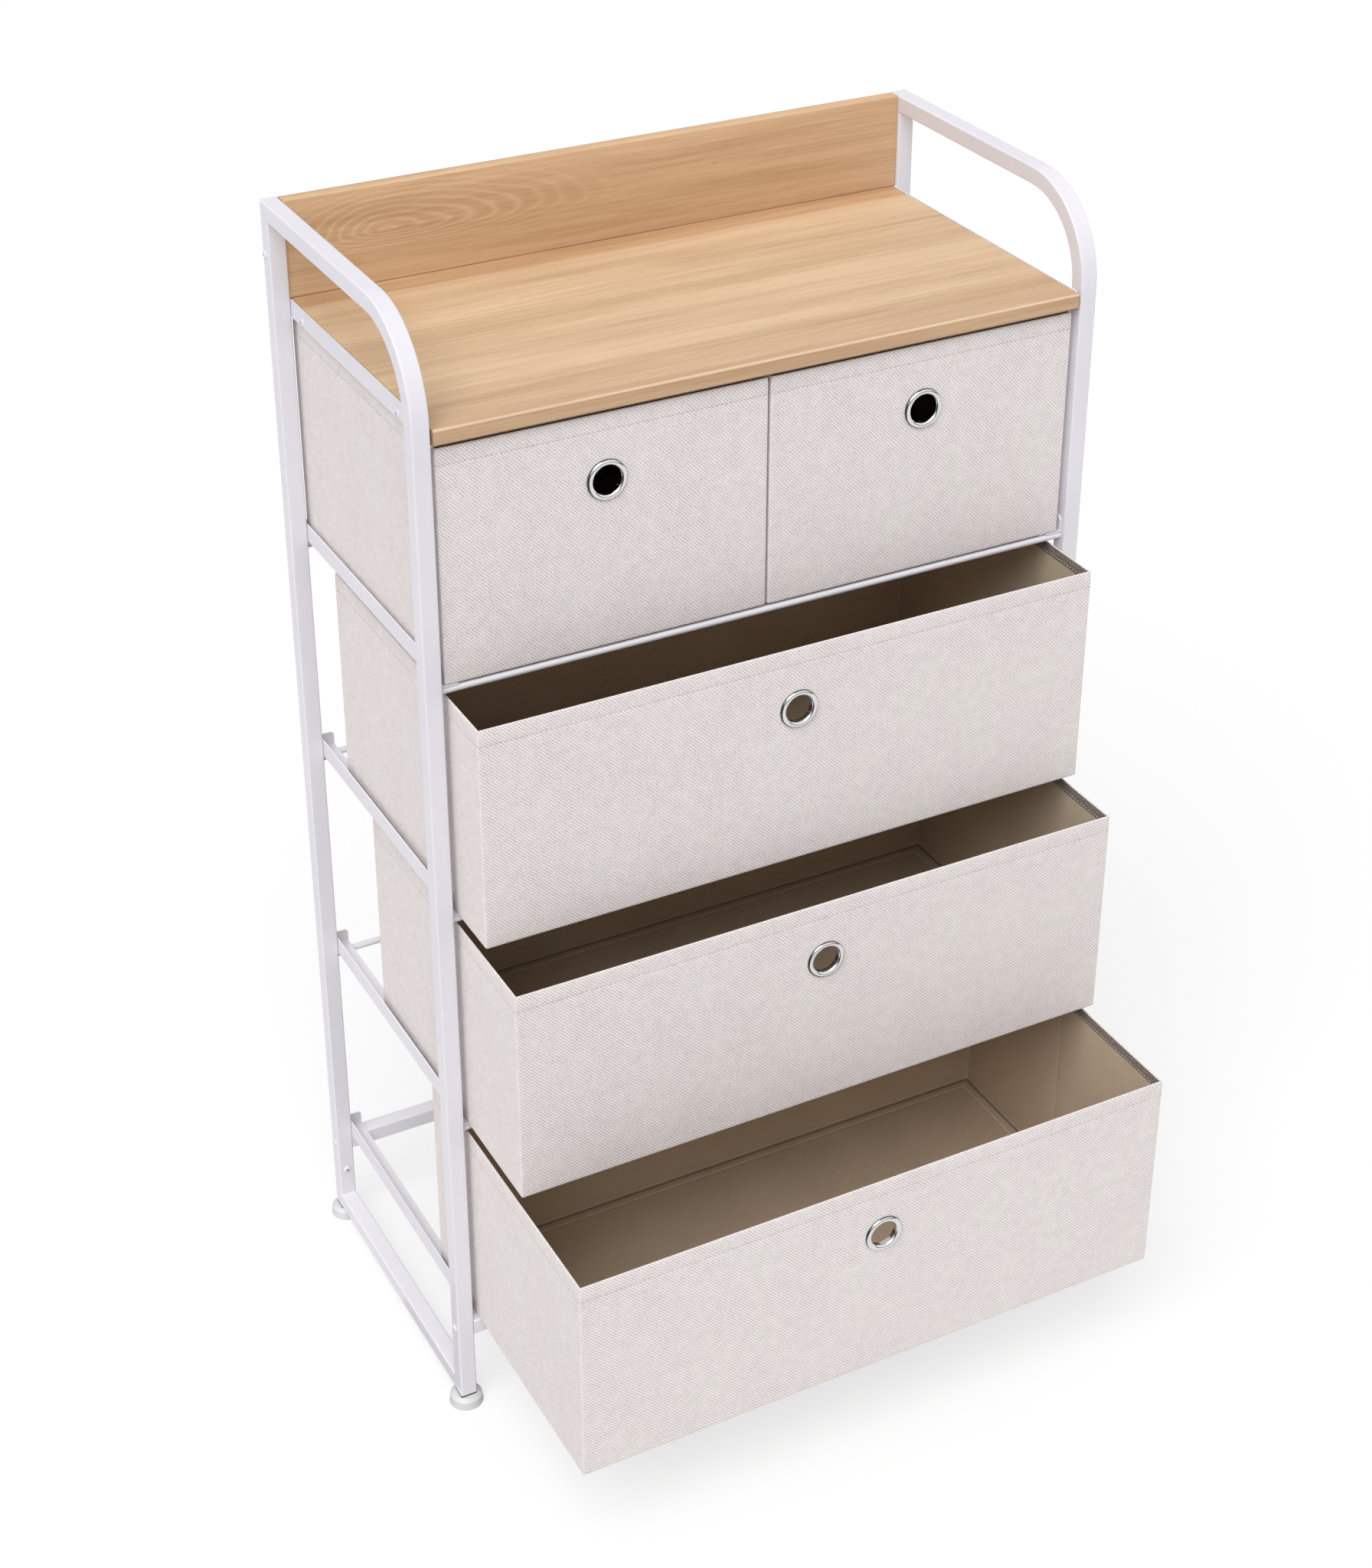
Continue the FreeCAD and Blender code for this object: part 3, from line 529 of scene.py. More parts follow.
rows = calc(weave, "MULTIPLY", crossed_wave(ROW_CYCLES), ROW_SHARE)
field = calc(weave, "MULTIPLY_ADD", crossed_wave(CROSS_CYCLES), CROSS_SHARE, rows)
swell = calc(weave, "SUBTRACT", cloth_noise(0.42, 0.5, 2), 0.5)
dots = ramp(weave, calc(weave, "MULTIPLY_ADD", swell, 1.3, field), -0.08, 0.8)
clouds = cloth_noise(0.021, 0.017, 3)
depth = calc(weave, "MULTIPLY", dots, ramp(weave, clouds, 0.3, 0.7, 1.0, 0.86))
hairs = cloth_noise(2.1, 1.7, 1)
hairy = ramp(weave, hairs, 0.35, 0.65, 0.12, 0.0)
strand = blend(weave, hairy, cloth_in["Yarn"], cloth_in["Gap"])
plain = blend(weave, depth, strand, cloth_in["Gap"])
tint = blend(weave, ramp(weave, clouds, 0.36, 0.64), cloth_in["Warm"], cloth_in["Cool"])
slubs = ramp(weave, cloth_noise(0.11, 0.09, 3), 0.3, 0.7, 0.955, 1.02)
tint = vector_calc(weave, "SCALE", {0: tint, "Scale": slubs})
relief = calc(weave, "MULTIPLY_ADD", hairs, 0.25, calc(weave, "SUBTRACT", 1.0, dots))
shade = blend(weave, 1.0, plain, tint, "MULTIPLY")
give(weave, cloth_out, shade, relief, ramp(weave, dots, 0, 1, 0.84, 0.95))
print("weave nodes:", len(weave.nodes))

# %% [markdown]
# ## Cover cloth and hem tape
# The cover is a light grey beige. The tape folded over its rim is the same kind of cloth in dark
# brown and a little coarser. Two separate weaves could be built, but one group with other colours
# keeps their dots alike, and a little sheen stands for the loose fibres.

# %% Cover cloth and hem tape
LOOSE = {"Sheen Weight": 0.08, "Sheen Roughness": 0.5, "Specular IOR Level": 0.2}


def woven(name, yarn, gap, warm, cool, coarse, depth):
    """A woven finish on the cloth's own map."""
    wires = {"Yarn": yarn, "Gap": gap, "Warm": warm, "Cool": cool, "Coarse": coarse}
    return new_finish(name, weave, cloth_place, wires, (0.5, depth), LOOSE)


cover_cloth = woven(
    "cover_cloth", yarn=(0.86, 0.814, 0.80, 1), gap=(0.49, 0.43, 0.422, 1),
    warm=(0.993, 0.976, 0.976, 1), cool=(0.99, 0.988, 0.982, 1), coarse=1.0, depth=0.25 * MM,
)
hem_tape = woven(
    "hem_tape", yarn=(0.31, 0.265, 0.235, 1), gap=(0.07, 0.054, 0.044, 1),
    warm=(0.92, 0.9, 0.9, 1), cool=(1, 1, 1, 1), coarse=1.1, depth=0.3 * MM,
)
print("woven finishes:", cover_cloth.name, hem_tape.name)

# %% [markdown]
# ## Lining and thread
# The lining is a smooth brown cloth, pressed from short fibres, so it shows faint clouds and a
# fine fibre grain and no yarn. The thread is paler inside, where it crosses the dark tape, and
# close to the cover's colour outside, where only its shadow shows. The boards are plain card.

# %% Fibre group, lining and thread
SOFT = {"Sheen Weight": 0.1, "Specular IOR Level": 0.25}
GRAIN_SHARE, CLOUD_SHARE, CLOUDS_PER_M = 0.6, 0.4, 14.0
fibre, fibre_in, fibre_out = new_group(
    "pressed_fibre",
    [("Place", VECTOR), ("Pale", COLOUR), ("Deep", COLOUR), ("Grain per m", FLOAT, 900.0)],
)
grain = noise(fibre, fibre_in["Place"], 4, fibre_in["Grain per m"], 0.6)
cloud = calc(fibre, "MULTIPLY", noise(fibre, fibre_in["Place"], 3, CLOUDS_PER_M), CLOUD_SHARE)
mixed = calc(fibre, "MULTIPLY_ADD", grain, GRAIN_SHARE, cloud)
shade = blend(fibre, ramp(fibre, mixed, 0.35, 0.65), fibre_in["Deep"], fibre_in["Pale"])
give(fibre, fibre_out, shade, grain, ramp(fibre, mixed, 0.3, 0.7, 0.72, 0.9))


def pressed(name, pale, deep, grain_per_m, depth, values=()):
    """A finish of short fibres, for lining, thread and card."""
    wires = {"Pale": pale, "Deep": deep, "Grain per m": grain_per_m}
    return new_finish(name, fibre, object_place, wires, (0.5, depth), values)


LOOKS = {
    "lining_cloth": ((0.625, 0.507, 0.378, 1), (0.556, 0.443, 0.324, 1), 700.0, 0.15 * MM, SOFT),
    "insert_cloth": ((0.50, 0.393, 0.286, 1), (0.44, 0.34, 0.244, 1), 700.0, 0.15 * MM, SOFT),
    # The dark lining colour below is painted shade for the crease where insert and wall meet.
    "lining_corner_shade": ((0.25, 0.19, 0.13, 1), (0.19, 0.14, 0.095, 1), 900.0, 0.1 * MM),
    "lining_welt": ((0.70, 0.595, 0.47, 1), (0.62, 0.52, 0.405, 1), 900.0, 0.1 * MM),
    "cover_thread": ((0.54, 0.46, 0.45, 1), (0.39, 0.32, 0.31, 1), 2500.0, 0.1 * MM),
    "hem_thread": ((0.66, 0.60, 0.54, 1), (0.5, 0.44, 0.39, 1), 2500.0, 0.1 * MM),
    "wall_card": ((0.42, 0.32, 0.21, 1), (0.32, 0.23, 0.15, 1), 500.0, 0.1 * MM),
}
fibrous = {name: pressed(name, *look) for name, look in LOOKS.items()}
print("fibre finishes:", list(fibrous))

# %% [markdown]
# ## The covers
# A cover is sewn from a cross-shaped cut and pulled over the boards, with its upper edge folded
# in. The real rim is almost a knife edge, so the profile pinches in to a round rim of two
# millimetres and comes down inside as a band of darker tape. A shallow groove marks the stitch
# line. Solidify gives the sheet its thickness towards the board. The base keeps a tenth of a
# millimetre off the steel it slides on, so that no two faces share a plane.

# %% Covers
CLOTH, LIFT = 0.45 * MM, 0.1 * MM
BASE_SHARES, FIRST_ROW = np.array([1, 0.6, 0.25, 0.08]), 1.5 * MM
QUARTER_TURN, HALF_TURN = np.linspace(0, math.pi / 2, 5), np.linspace(0, math.pi, 9)
STITCH_DROP, DENT, DENT_WIDTH = 14.2 * MM, 0.22 * MM, 0.5 * MM
GROOVE = np.array([-1.2, -0.6, 0, 0.6, 1.2]) * MM
SLACK_END, WALL_END = 12 * MM, 8 * MM
PINCH_IN, PINCH_DROP = 0.12 * MM, 4 * MM
RIM, RIM_IN = 1.0 * MM, 1.35 * MM
TAPE_IN, TAPE_DROP = np.array([2.75, 3.05, 3.2, 3.2]) * MM, np.array([2.6, 5, 8.4, 9]) * MM
TAPE_MARK = 1
HEM, HEM_SEAM_IN, HEM_SEAM_DROP = 9 * MM, 3.15 * MM, 7.4 * MM
RIM_STITCH, HEM_STITCH = 0.26 * MM, 0.3 * MM
COVER_SEED = 1.7


def cover_profile(tall, hole_z):
    """Insets and heights of a cover from its foot edge over the rim to the tape's end.

    The foot edge and the rim are arcs: inset and height follow a sine and a cosine. The groove
    under the stitches is a bell curve of their distance.
    """
    foot_in, foot_up = EDGE * (1 - np.sin(QUARTER_TURN)), EDGE * (1 - np.cos(QUARTER_TURN))
    groove = tall - STITCH_DROP + GROOVE
    stops = [EDGE + FIRST_ROW, hole_z - WINDOW, hole_z + WINDOW, *groove, tall - WALL_END]
    wall_up = stations(stops)
    dent = DENT * np.exp(-(((wall_up - groove[2]) / DENT_WIDTH) ** 2))
    rim_in, rim_up = RIM_IN - RIM * np.cos(HALF_TURN), tall - RIM + RIM * np.sin(HALF_TURN)
    inset = np.concatenate([foot_in, dent, [PINCH_IN], rim_in, TAPE_IN])
    height = np.concatenate([foot_up, wall_up, [tall - PINCH_DROP], rim_up, tall - TAPE_DROP])
    return inset, height


def make_cover(name, seed):
    """Cover of one drawer, with its hem and its two lines of stitches.

    The flat cut is the base plus a wall, a rim and a hem on each side, less the four corners.
    """
    half, tall, foot, hole_z = SIZES[name]
    loop = drawer_loop(half, EDGE, CORNER_ROOM)
    inset, height = cover_profile(tall, hole_z)
    base = BASE_SHARES * half.min()
    rows = np.concatenate([base, inset])[:, None]
    levels = np.maximum(np.concatenate([np.zeros(len(base)), height]), LIFT)
    stand = slack(loop, levels, tall, seed)
    stand[levels > tall - SLACK_END] = 0
    marks = np.zeros(len(levels) - 1, int)
    marks[-len(TAPE_IN) - 2:] = TAPE_MARK
    piece = cloth_shell(
        f"{name}_cover_cloth", loop, (rows - stand, levels), foot, hole_z, len(base), marks,
        (cover_cloth, hem_tape),
    )
    thicken(piece, CLOTH)
    line = np.array([tall - STITCH_DROP])
    rim_in = DENT - slack(loop, line, tall, seed)
    outside = stitch_line(
        f"{name}_rim_stitches", loop, rim_in, line[0], foot, RIM_STITCH, 1, fibrous["cover_thread"]
    )
    hem_in, hem_up = np.full((1, len(loop["foot"])), HEM_SEAM_IN), tall - HEM_SEAM_DROP
    inside = stitch_line(
        f"{name}_hem_stitches", loop, hem_in, hem_up, foot, HEM_STITCH, -1, fibrous["hem_thread"]
    )
    for part in (piece, outside, inside):
        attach(part, f"{name}_drawer")
    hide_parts(f"{name}_cover")
    return piece


for number, name in enumerate(DRAWERS):
    made = make_cover(name, COVER_SEED * number)
    print(made.name, "faces:", len(made.data.polygons))

# %% [markdown]
# ## The linings
# The lining stands inside the boards. On its base lies a covered insert with a pale welt near its
# edge. Where the insert meets the walls the cloth is coloured dark, as painted shade in that crease.
# Each side wall has a fold line in its middle, where the empty drawer folds flat. These could be
# pieces of their own, but rows and columns of one grid need no joints.

# %% Linings
WALL, FLOOR = 2.6 * MM, 3.5 * MM
INNER_EDGE, INNER_ROOM = 2 * MM, 5 * MM
LINING_SHARES = np.array([1, 0.6, 0.3])
INSERT = 1.8 * MM
INSERT_IN = np.array([16, 12.2, 11.4, 10.6, 7.6, 5.0, 3.9, 3.2, 2.9]) * MM
INSERT_RISE = np.array([1, 1, 0.86, 1, 1.06, 1.0, 0.8, 0.42, 0])
FOOT_IN, TOP_DROP = 2.5 * MM, 3 * MM
FOLD, CREASE = np.array([-2.4, -1.2, 0, 1.2, 2.4]) * MM, 0.5 * MM
LINING_THICK, LINING_SLACK = 0.3 * MM, 0.5
# The dark rows at the wall's foot are painted shade in the crease round the insert.
WELT_ROW, CORNER_SHADE_ROWS = 2, np.array([8, 9, 10, 11])
WELT_MARK, INSERT_MARK, CORNER_SHADE_MARK = 1, 2, 3
LINING_FINISHES = [
    fibrous[kind] for kind in ("lining_cloth", "lining_welt", "insert_cloth", "lining_corner_shade")
]
LINING_SEED = (0.9, 1.3)


def lining_profile(tall, hole_z):
    """Insets and heights of a lining from the insert's edge to under the hem.

    The round foot of the wall is an arc: inset and height follow a sine and a cosine.
    """
    edge_in = INNER_EDGE * (1 - np.sin(QUARTER_TURN))
    edge_up = FLOOR + INNER_EDGE * (1 - np.cos(QUARTER_TURN))
    first = FLOOR + INNER_EDGE + FIRST_ROW
    wall_up = stations([first, hole_z - WINDOW, hole_z + WINDOW, tall - TOP_DROP])
    inset = np.concatenate([INSERT_IN, [FOOT_IN], edge_in, np.zeros_like(wall_up)])
    height = np.concatenate([FLOOR + INSERT * INSERT_RISE, [FLOOR], edge_up, wall_up])
    return inset, height


def make_lining(name, seed):
    """Lining of one drawer with its base insert and fold lines.

    A fold is a bell curve, one millimetre wide, round the middle of each side wall.
    """
    half, tall, foot, hole_z = SIZES[name]
    inner = half - WALL
    loop = drawer_loop(inner, INNER_EDGE, INNER_ROOM, FOLD)
    inset, height = lining_profile(tall, hole_z)
    base = LINING_SHARES * inner.min()
    under = len(base) + len(INSERT_IN) + 1
    rows = np.concatenate([base, inset])[:, None]
    levels = np.concatenate([np.full(len(base), FLOOR + INSERT), height])
    side = np.abs(loop["way"][:, 0]) > SQUARE_ON
    crease = CREASE * side * np.exp(-((loop["foot"][:, 1] / MM) ** 2))
    wall = (np.arange(len(levels)) >= under + len(QUARTER_TURN))[:, None]
    stand = wall * (LINING_SLACK * slack(loop, levels, tall, seed) - crease)
    marks = np.zeros(len(levels) - 1, int)
    marks[:under - 1] = INSERT_MARK
    marks[len(base) + WELT_ROW] = WELT_MARK
    marks[len(base) + CORNER_SHADE_ROWS] = CORNER_SHADE_MARK
    piece = cloth_shell(
        f"{name}_lining_cloth", loop, (rows + stand, levels), foot, hole_z, under, marks,
        LINING_FINISHES, inward=True,
    )
    thicken(piece, LINING_THICK)
    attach(piece, f"{name}_drawer")
    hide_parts(f"{name}_lining")
    return piece


for number, name in enumerate(DRAWERS):
    made = make_lining(name, LINING_SEED[0] + LINING_SEED[1] * number)
    print(made.name, "faces:", len(made.data.polygons))

# %% [markdown]
# ## Painted steel and plastic
# The frame is powder coated: a satin white with a faint cool cast and a fine orange-peel skin. The
# same speckle, larger or smaller, also suits screws, feet and plugs, so it is one group. Screw
# sockets are dark because no light gets in, and the weld at the frame's mitred corner is a thin
# grey line. Both are painted by distance.

# %% Speckle group
# The socket and crevice colours are painted shade, where little light gets in.
SOCKET_DARK, CREVICE_SHADE = (0.12, 0.11, 0.12, 1), (0.16, 0.16, 0.165, 1)
WELD_GREY, WELD_REACH = (0.3, 0.29, 0.31, 1), 16 * MM
PATCHES_PER_M = 9.0
speckle, speck_in, speck_out = new_group(
    "skin_speckle",
    [("Place", VECTOR), ("Ground", COLOUR), ("Fleck", COLOUR), ("Per m", FLOAT, 900.0),
     ("Gloss", FLOAT, 0.4)],
)
peel = noise(speckle, speck_in["Place"], 2, speck_in["Per m"])
patches = noise(speckle, speck_in["Place"], 3, PATCHES_PER_M)
shade = blend(speckle, ramp(speckle, patches, 0.3, 0.75), speck_in["Ground"], speck_in["Fleck"])
uneven = calc(speckle, "SUBTRACT", patches, 0.5)
dull = calc(speckle, "MULTIPLY_ADD", uneven, 0.25, speck_in["Gloss"])
give(speckle, speck_out, shade, peel, dull)


def nearest(tree, place, first, second, spots):
    """Distance to the nearest of some spots, mirrored over the first axis."""
    axes, least = axes_of(tree, place), 1.0
    for spot in spots:
        a = calc(tree, "SUBTRACT", calc(tree, "ABSOLUTE", axes[first]), spot[0])
        b = calc(tree, "SUBTRACT", axes[second], spot[1])
        least = calc(tree, "MINIMUM", distance(tree, a, b), least)
    return least


def dark_sockets(tree, colour, place, first, second, radius, spots):
    """Colour that goes dark inside a radius round some spots."""
    outside = ramp(tree, nearest(tree, place, first, second, spots), 0.8 * radius, 1.1 * radius)
    return blend(tree, outside, SOCKET_DARK, colour)


def crevice_shade(tree, colour, place, first, second, radius, spots):
    """Painted shade: colour that goes dark outside a radius round some spots."""
    outside = ramp(tree, nearest(tree, place, first, second, spots), radius, radius + 0.7 * MM)
    return blend(tree, outside, colour, CREVICE_SHADE)


def weld_line(tree, colour, place, corner_y, corner_z):
    """Grey line that runs down forwards at 45 degrees from the rear top corner.

    There y less z is the same as at the corner.
    """
    axes = axes_of(tree, place)
    slant = calc(tree, "SUBTRACT", axes[1], axes[2])
    slant = calc(tree, "ABSOLUTE", calc(tree, "SUBTRACT", slant, corner_y - corner_z))
    near = ramp(tree, slant, 0.2 * MM, 0.6 * MM, 0.3, 0.0)
    high = calc(tree, "GREATER_THAN", axes[2], corner_z - WELD_REACH)
    return blend(tree, calc(tree, "MULTIPLY", near, high), colour, WELD_GREY)


def coated(name, ground, fleck, per_m, gloss, depth, *paints, metal=0.0):
    """A painted, moulded or plated finish."""
    wires = {"Ground": ground, "Fleck": fleck, "Per m": per_m, "Gloss": gloss}
    relief, values = (0.3, depth), {"Metallic": metal}
    return new_finish(name, speckle, object_place, wires, relief, values, paints)


print("speckle nodes:", len(speckle.nodes))

# %% [markdown]
# ## Coated finishes
# Frame and screws share one white, the feet are a greyer plastic and the plugs black. The eyelets
# are chrome, with painted shade in the crevice where their collar meets the cloth. Dark discs could
# be modelled, but the screws' places are known, so distance alone finds them.

# %% Coated finishes
WHITE, COOL = (0.755, 0.74, 0.785, 1), (0.725, 0.71, 0.76, 1)
SOCKET, COLLAR = 1.3 * MM, 16.4 * MM
BOLT_SPOTS = np.array([[142.5, 86.5], [144, 984.6]]) * MM
SCREW_SPOTS = np.array([[110, 935.7], [88, 935.7]]) * MM
POST_SPOTS = np.array([[292.5, 55.7]]) * MM
REAR_CORNER = 150 * MM, 1029 * MM
# The top left eyelet is the mirror image of the next one, so it is left out.
EYELET_SPOTS = [(abs(foot[0]), foot[2] + eyelet) for _, _, foot, eyelet in SIZES.values()][1:]
COATS = {
    "frame_white": (WHITE, COOL, 1400.0, 0.42, 0.06 * MM, (weld_line, *REAR_CORNER)),
    "bolt_white": (WHITE, COOL, 1800.0, 0.35, 0.03 * MM, (dark_sockets, 1, 2, SOCKET, BOLT_SPOTS)),
    "screw_white": (
        WHITE, COOL, 1800.0, 0.35, 0.03 * MM,
        (dark_sockets, 1, 2, SOCKET, SCREW_SPOTS), (dark_sockets, 0, 2, SOCKET, POST_SPOTS),
    ),
    "foot_white": ((0.63, 0.64, 0.64, 1), (0.58, 0.59, 0.59, 1), 2200.0, 0.5, 0.05 * MM),
    "plug_black": ((0.008, 0.008, 0.009, 1), (0.014, 0.014, 0.014, 1), 1500.0, 0.6, 0.05 * MM),
}
painted = {name: coated(name, *coat) for name, coat in COATS.items()}
# Painted shade darkens each eyelet round its outer edge, in the crevice at the cloth.
eyelet_chrome = coated(
    "eyelet_chrome", (0.86, 0.86, 0.865, 1), (0.80, 0.80, 0.81, 1), 700.0, 0.11, 0.005 * MM,
    (crevice_shade, 0, 2, COLLAR, EYELET_SPOTS), metal=1.0,
)
print("coated finishes:", list(painted), eyelet_chrome.name)

# %% [markdown]
# ## Wood
# Top and back panel are faced with a pale honey veneer whose grain runs along the width. A picture
# of veneer would carry its own light, so bands, streaks, fibres, lines, flecks and pores are noise
# drawn out along the grain, and a slow drift bends them. The oval figure round the back panel's
# knot is the distance from it, squeezed along the grain and turned into thin pale rings.

# %% Wood group
RING_WIDTH, RING_MIDDLE = 4.6, 0.3
wood, wood_in, wood_out = new_group(
    "honey_veneer",
    [("Place", VECTOR), ("Pale", COLOUR), ("Deep", COLOUR), ("Knot mm", VECTOR),
     ("Figure", FLOAT, 0.0)],
)


def drawn_out(place, along, across, detail, rough=0.5):
    """Noise with so many cells to the millimetre along and across the grain."""
    return noise(wood, stretched(wood, place, (along, across, across)), detail, 1.0, rough)


veneer = stretched(wood, wood_in["Place"], (1000, 1000, 1000))
drift = drawn_out(veneer, 0.005, 0.02, 3)
bent = calc(wood, "MULTIPLY", calc(wood, "SUBTRACT", drift, 0.5), 9.0)
sway = add(wood, "ShaderNodeCombineXYZ", {1: bent, 2: bent}).outputs[0]
grain_place = vector_calc(wood, "ADD", {0: veneer, 1: sway})
bands = drawn_out(grain_place, 0.0016, 0.034, 2)
streaks = drawn_out(grain_place, 0.005, 0.2, 4, 0.62)
fibres = drawn_out(grain_place, 0.014, 0.5, 4, 0.66)
lines = ramp(wood, drawn_out(grain_place, 0.0022, 0.36, 2), 0.58, 0.70)
pores = ramp(wood, drawn_out(veneer, 0.06, 1.6, 2), 0.64, 0.76)
flecks = ramp(wood, drawn_out(veneer, 0.055, 0.55, 1), 0.68, 0.78)
flecks = calc(wood, "MULTIPLY", flecks, ramp(wood, drift, 0.46, 0.6))
knot_axes = axes_of(wood, vector_calc(wood, "SUBTRACT", {0: veneer, 1: wood_in["Knot mm"]}))
squeeze = ramp(wood, knot_axes[0], -20.0, 20.0, 0.38, 0.22)
lengthwise = calc(wood, "MULTIPLY", knot_axes[0], squeeze)
spread = ramp(wood, knot_axes[2], -8.0, 8.0, 1.7, 0.95)
crosswise = calc(wood, "MULTIPLY", knot_axes[2], spread)
reach = distance(wood, lengthwise, crosswise)
wiggle = calc(wood, "MULTIPLY_ADD", drawn_out(veneer, 0.022, 0.05, 2), 5.0, reach)
phase = calc(wood, "MULTIPLY", calc(wood, "DIVIDE", wiggle, RING_WIDTH), 2 * math.pi)
wave = calc(wood, "MULTIPLY_ADD", calc(wood, "COSINE", phase), 0.5, 0.5)
ring = calc(wood, "SUBTRACT", calc(wood, "POWER", wave, 3.0), RING_MIDDLE)
fade = calc(wood, "MULTIPLY", ramp(wood, reach, 16.0, 56.0, 1.0, 0.0), wood_in["Figure"])
tone = 0.08
for layer, share in (
    (ramp(wood, fibres, 0.34, 0.66), 0.30),
    (ramp(wood, bands, 0.34, 0.66), 0.48),
    (ramp(wood, streaks, 0.32, 0.68), 0.24),
    (flecks, -0.4),
    (lines, -0.24),
    (ring, fade),
):
    tone = calc(wood, "MULTIPLY_ADD", layer, share, tone)
tone = calc(wood, "MULTIPLY_ADD", pores, -0.22, tone, clamp=True)
shade = blend(wood, tone, wood_in["Deep"], wood_in["Pale"])
hollows = calc(wood, "MULTIPLY_ADD", pores, -0.6, fibres)
give(wood, wood_out, shade, hollows, ramp(wood, fibres, 0.3, 0.7, 0.42, 0.56))
print("wood nodes:", len(wood.nodes))

# %% [markdown]
# ## The two panels
# The top panel has a deeper strip of veneer near the front and painted shade near the rear, where
# the back panel shades it and lends it its warm reflected colour. At the front is an edge strip with
# a painted highlight along its upper edge and a painted shadow along its lower edge. The back panel
# stands on the top panel with a thin dark joint. These could be solids, but they are so thin that
# paint by distance from the faces shows them too.

# %% Panels
LIP_EDGE = 1.5 * MM
# The rear band is painted shade, warm with the back panel's reflected colour; the front band is
# veneer.
REAR_SHADE_BAND, FRONT_STRIP = (109 * MM, 116 * MM), (-113 * MM, -98 * MM)
REAR_SHADE_TINT, FRONT_TINT = (0.83, 0.73, 0.65, 1), (0.89, 0.86, 0.845, 1)
WANDER = 14 * MM
# The pale edge colour is a painted highlight and the dark edge colour a painted shadow.
LIP_TINT, LIP_HIGHLIGHT, LIP_SHADOW = (0.93, 0.88, 0.85, 1), (0.93, 0.73, 0.52, 1), (0.10, 0.055, 0.03, 1)
JOINT_DARK = (0.27, 0.165, 0.095, 1)


def add_joint(tree, colour, place, front, height):
    """A thin dark gap: within 1 mm of the front face (y) and just above a height."""
    axes = axes_of(tree, place)
    near = calc(tree, "LESS_THAN", axes[1], front + 1.0 * MM)
    low = ramp(tree, axes[2], height + 0.4 * MM, height + 1.1 * MM, 1.0, 0.0)
    return blend(tree, calc(tree, "MULTIPLY", near, low), colour, JOINT_DARK)


def add_front_strip_and_rear_shade(tree, colour, place):
    """A deeper veneer strip along the front, painted shade along the rear by the back panel; edges
    wander.
    """
    wander = calc(tree, "SUBTRACT", noise(tree, stretched(tree, place, (5, 40, 40)), 3), 0.5)
    across = calc(tree, "MULTIPLY_ADD", wander, WANDER, axes_of(tree, place)[1])
    # Painted shade next to the back panel.
    rear = ramp(tree, across, *REAR_SHADE_BAND)
    front = ramp(tree, across, *FRONT_STRIP, 1.0, 0.0)
    colour = blend(tree, rear, colour, REAR_SHADE_TINT, "MULTIPLY")
    return blend(tree, front, colour, FRONT_TINT, "MULTIPLY")


def add_lip(tree, colour, place, front, top, foot):
    """Edge strip from its front (y), top and foot (z): painted highlight above, painted shadow
    below.

    Both edges are bands of equal distance from the corner: the sum of the two offsets from it.
    """
    axes = axes_of(tree, place)
    behind = calc(tree, "SUBTRACT", axes[1], front)
    above = calc(tree, "ADD", behind, calc(tree, "SUBTRACT", top, axes[2]))
    below = calc(tree, "ADD", behind, calc(tree, "SUBTRACT", axes[2], foot))
    strip = ramp(tree, behind, 0.2 * MM, LIP_EDGE, 0.75, 0.0)
    # Painted highlight along the upper edge, painted shadow along the lower edge.
    painted_highlight = ramp(tree, above, 0.7 * LIP_EDGE, 1.3 * LIP_EDGE, 0.45, 0.0)
    dark = ramp(tree, below, 0.8 * LIP_EDGE, 1.3 * LIP_EDGE, 0.85, 0.0)
    colour = blend(tree, strip, colour, LIP_TINT, "MULTIPLY")
    return blend(tree, dark, blend(tree, painted_highlight, colour, LIP_HIGHLIGHT), LIP_SHADOW)


def veneered(name, pale, deep, paints, knot=(0, 0, 0), figure=0.0):
    """A wood finish with the grain along X."""
    wires = {"Pale": pale, "Deep": deep, "Knot mm": knot, "Figure": figure}
    relief, values = (0.25, 0.08 * MM), {"Specular IOR Level": 0.4}
    return new_finish(name, wood, object_place, wires, relief, values, paints)


JOINT = (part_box("back_panel")[0][1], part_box("top_panel")[1][2])
LIP = (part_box("top_panel")[0][1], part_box("top_panel")[1][2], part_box("top_panel")[0][2])
KNOT_MM, FIGURE = (-197, 138, 991), 0.42
top_wood = veneered(
    "top_wood", (0.725, 0.522, 0.333, 1), (0.50, 0.322, 0.183, 1), [(add_front_strip_and_rear_shade,), (add_lip, *LIP)]
)
back_wood = veneered(
    "back_wood", (0.715, 0.486, 0.296, 1), (0.49, 0.30, 0.16, 1), [(add_joint, *JOINT)],
    KNOT_MM, FIGURE,
)
print("wood finishes:", top_wood.name, back_wood.name)

# %% [markdown]
# ## Finishes on the CAD nodes
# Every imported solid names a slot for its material. Finishes could be set one object at a time, but
# a table keeps them in one place. Bolts, screws and the two panels have lines of their own, because
# their paint depends on where they sit.

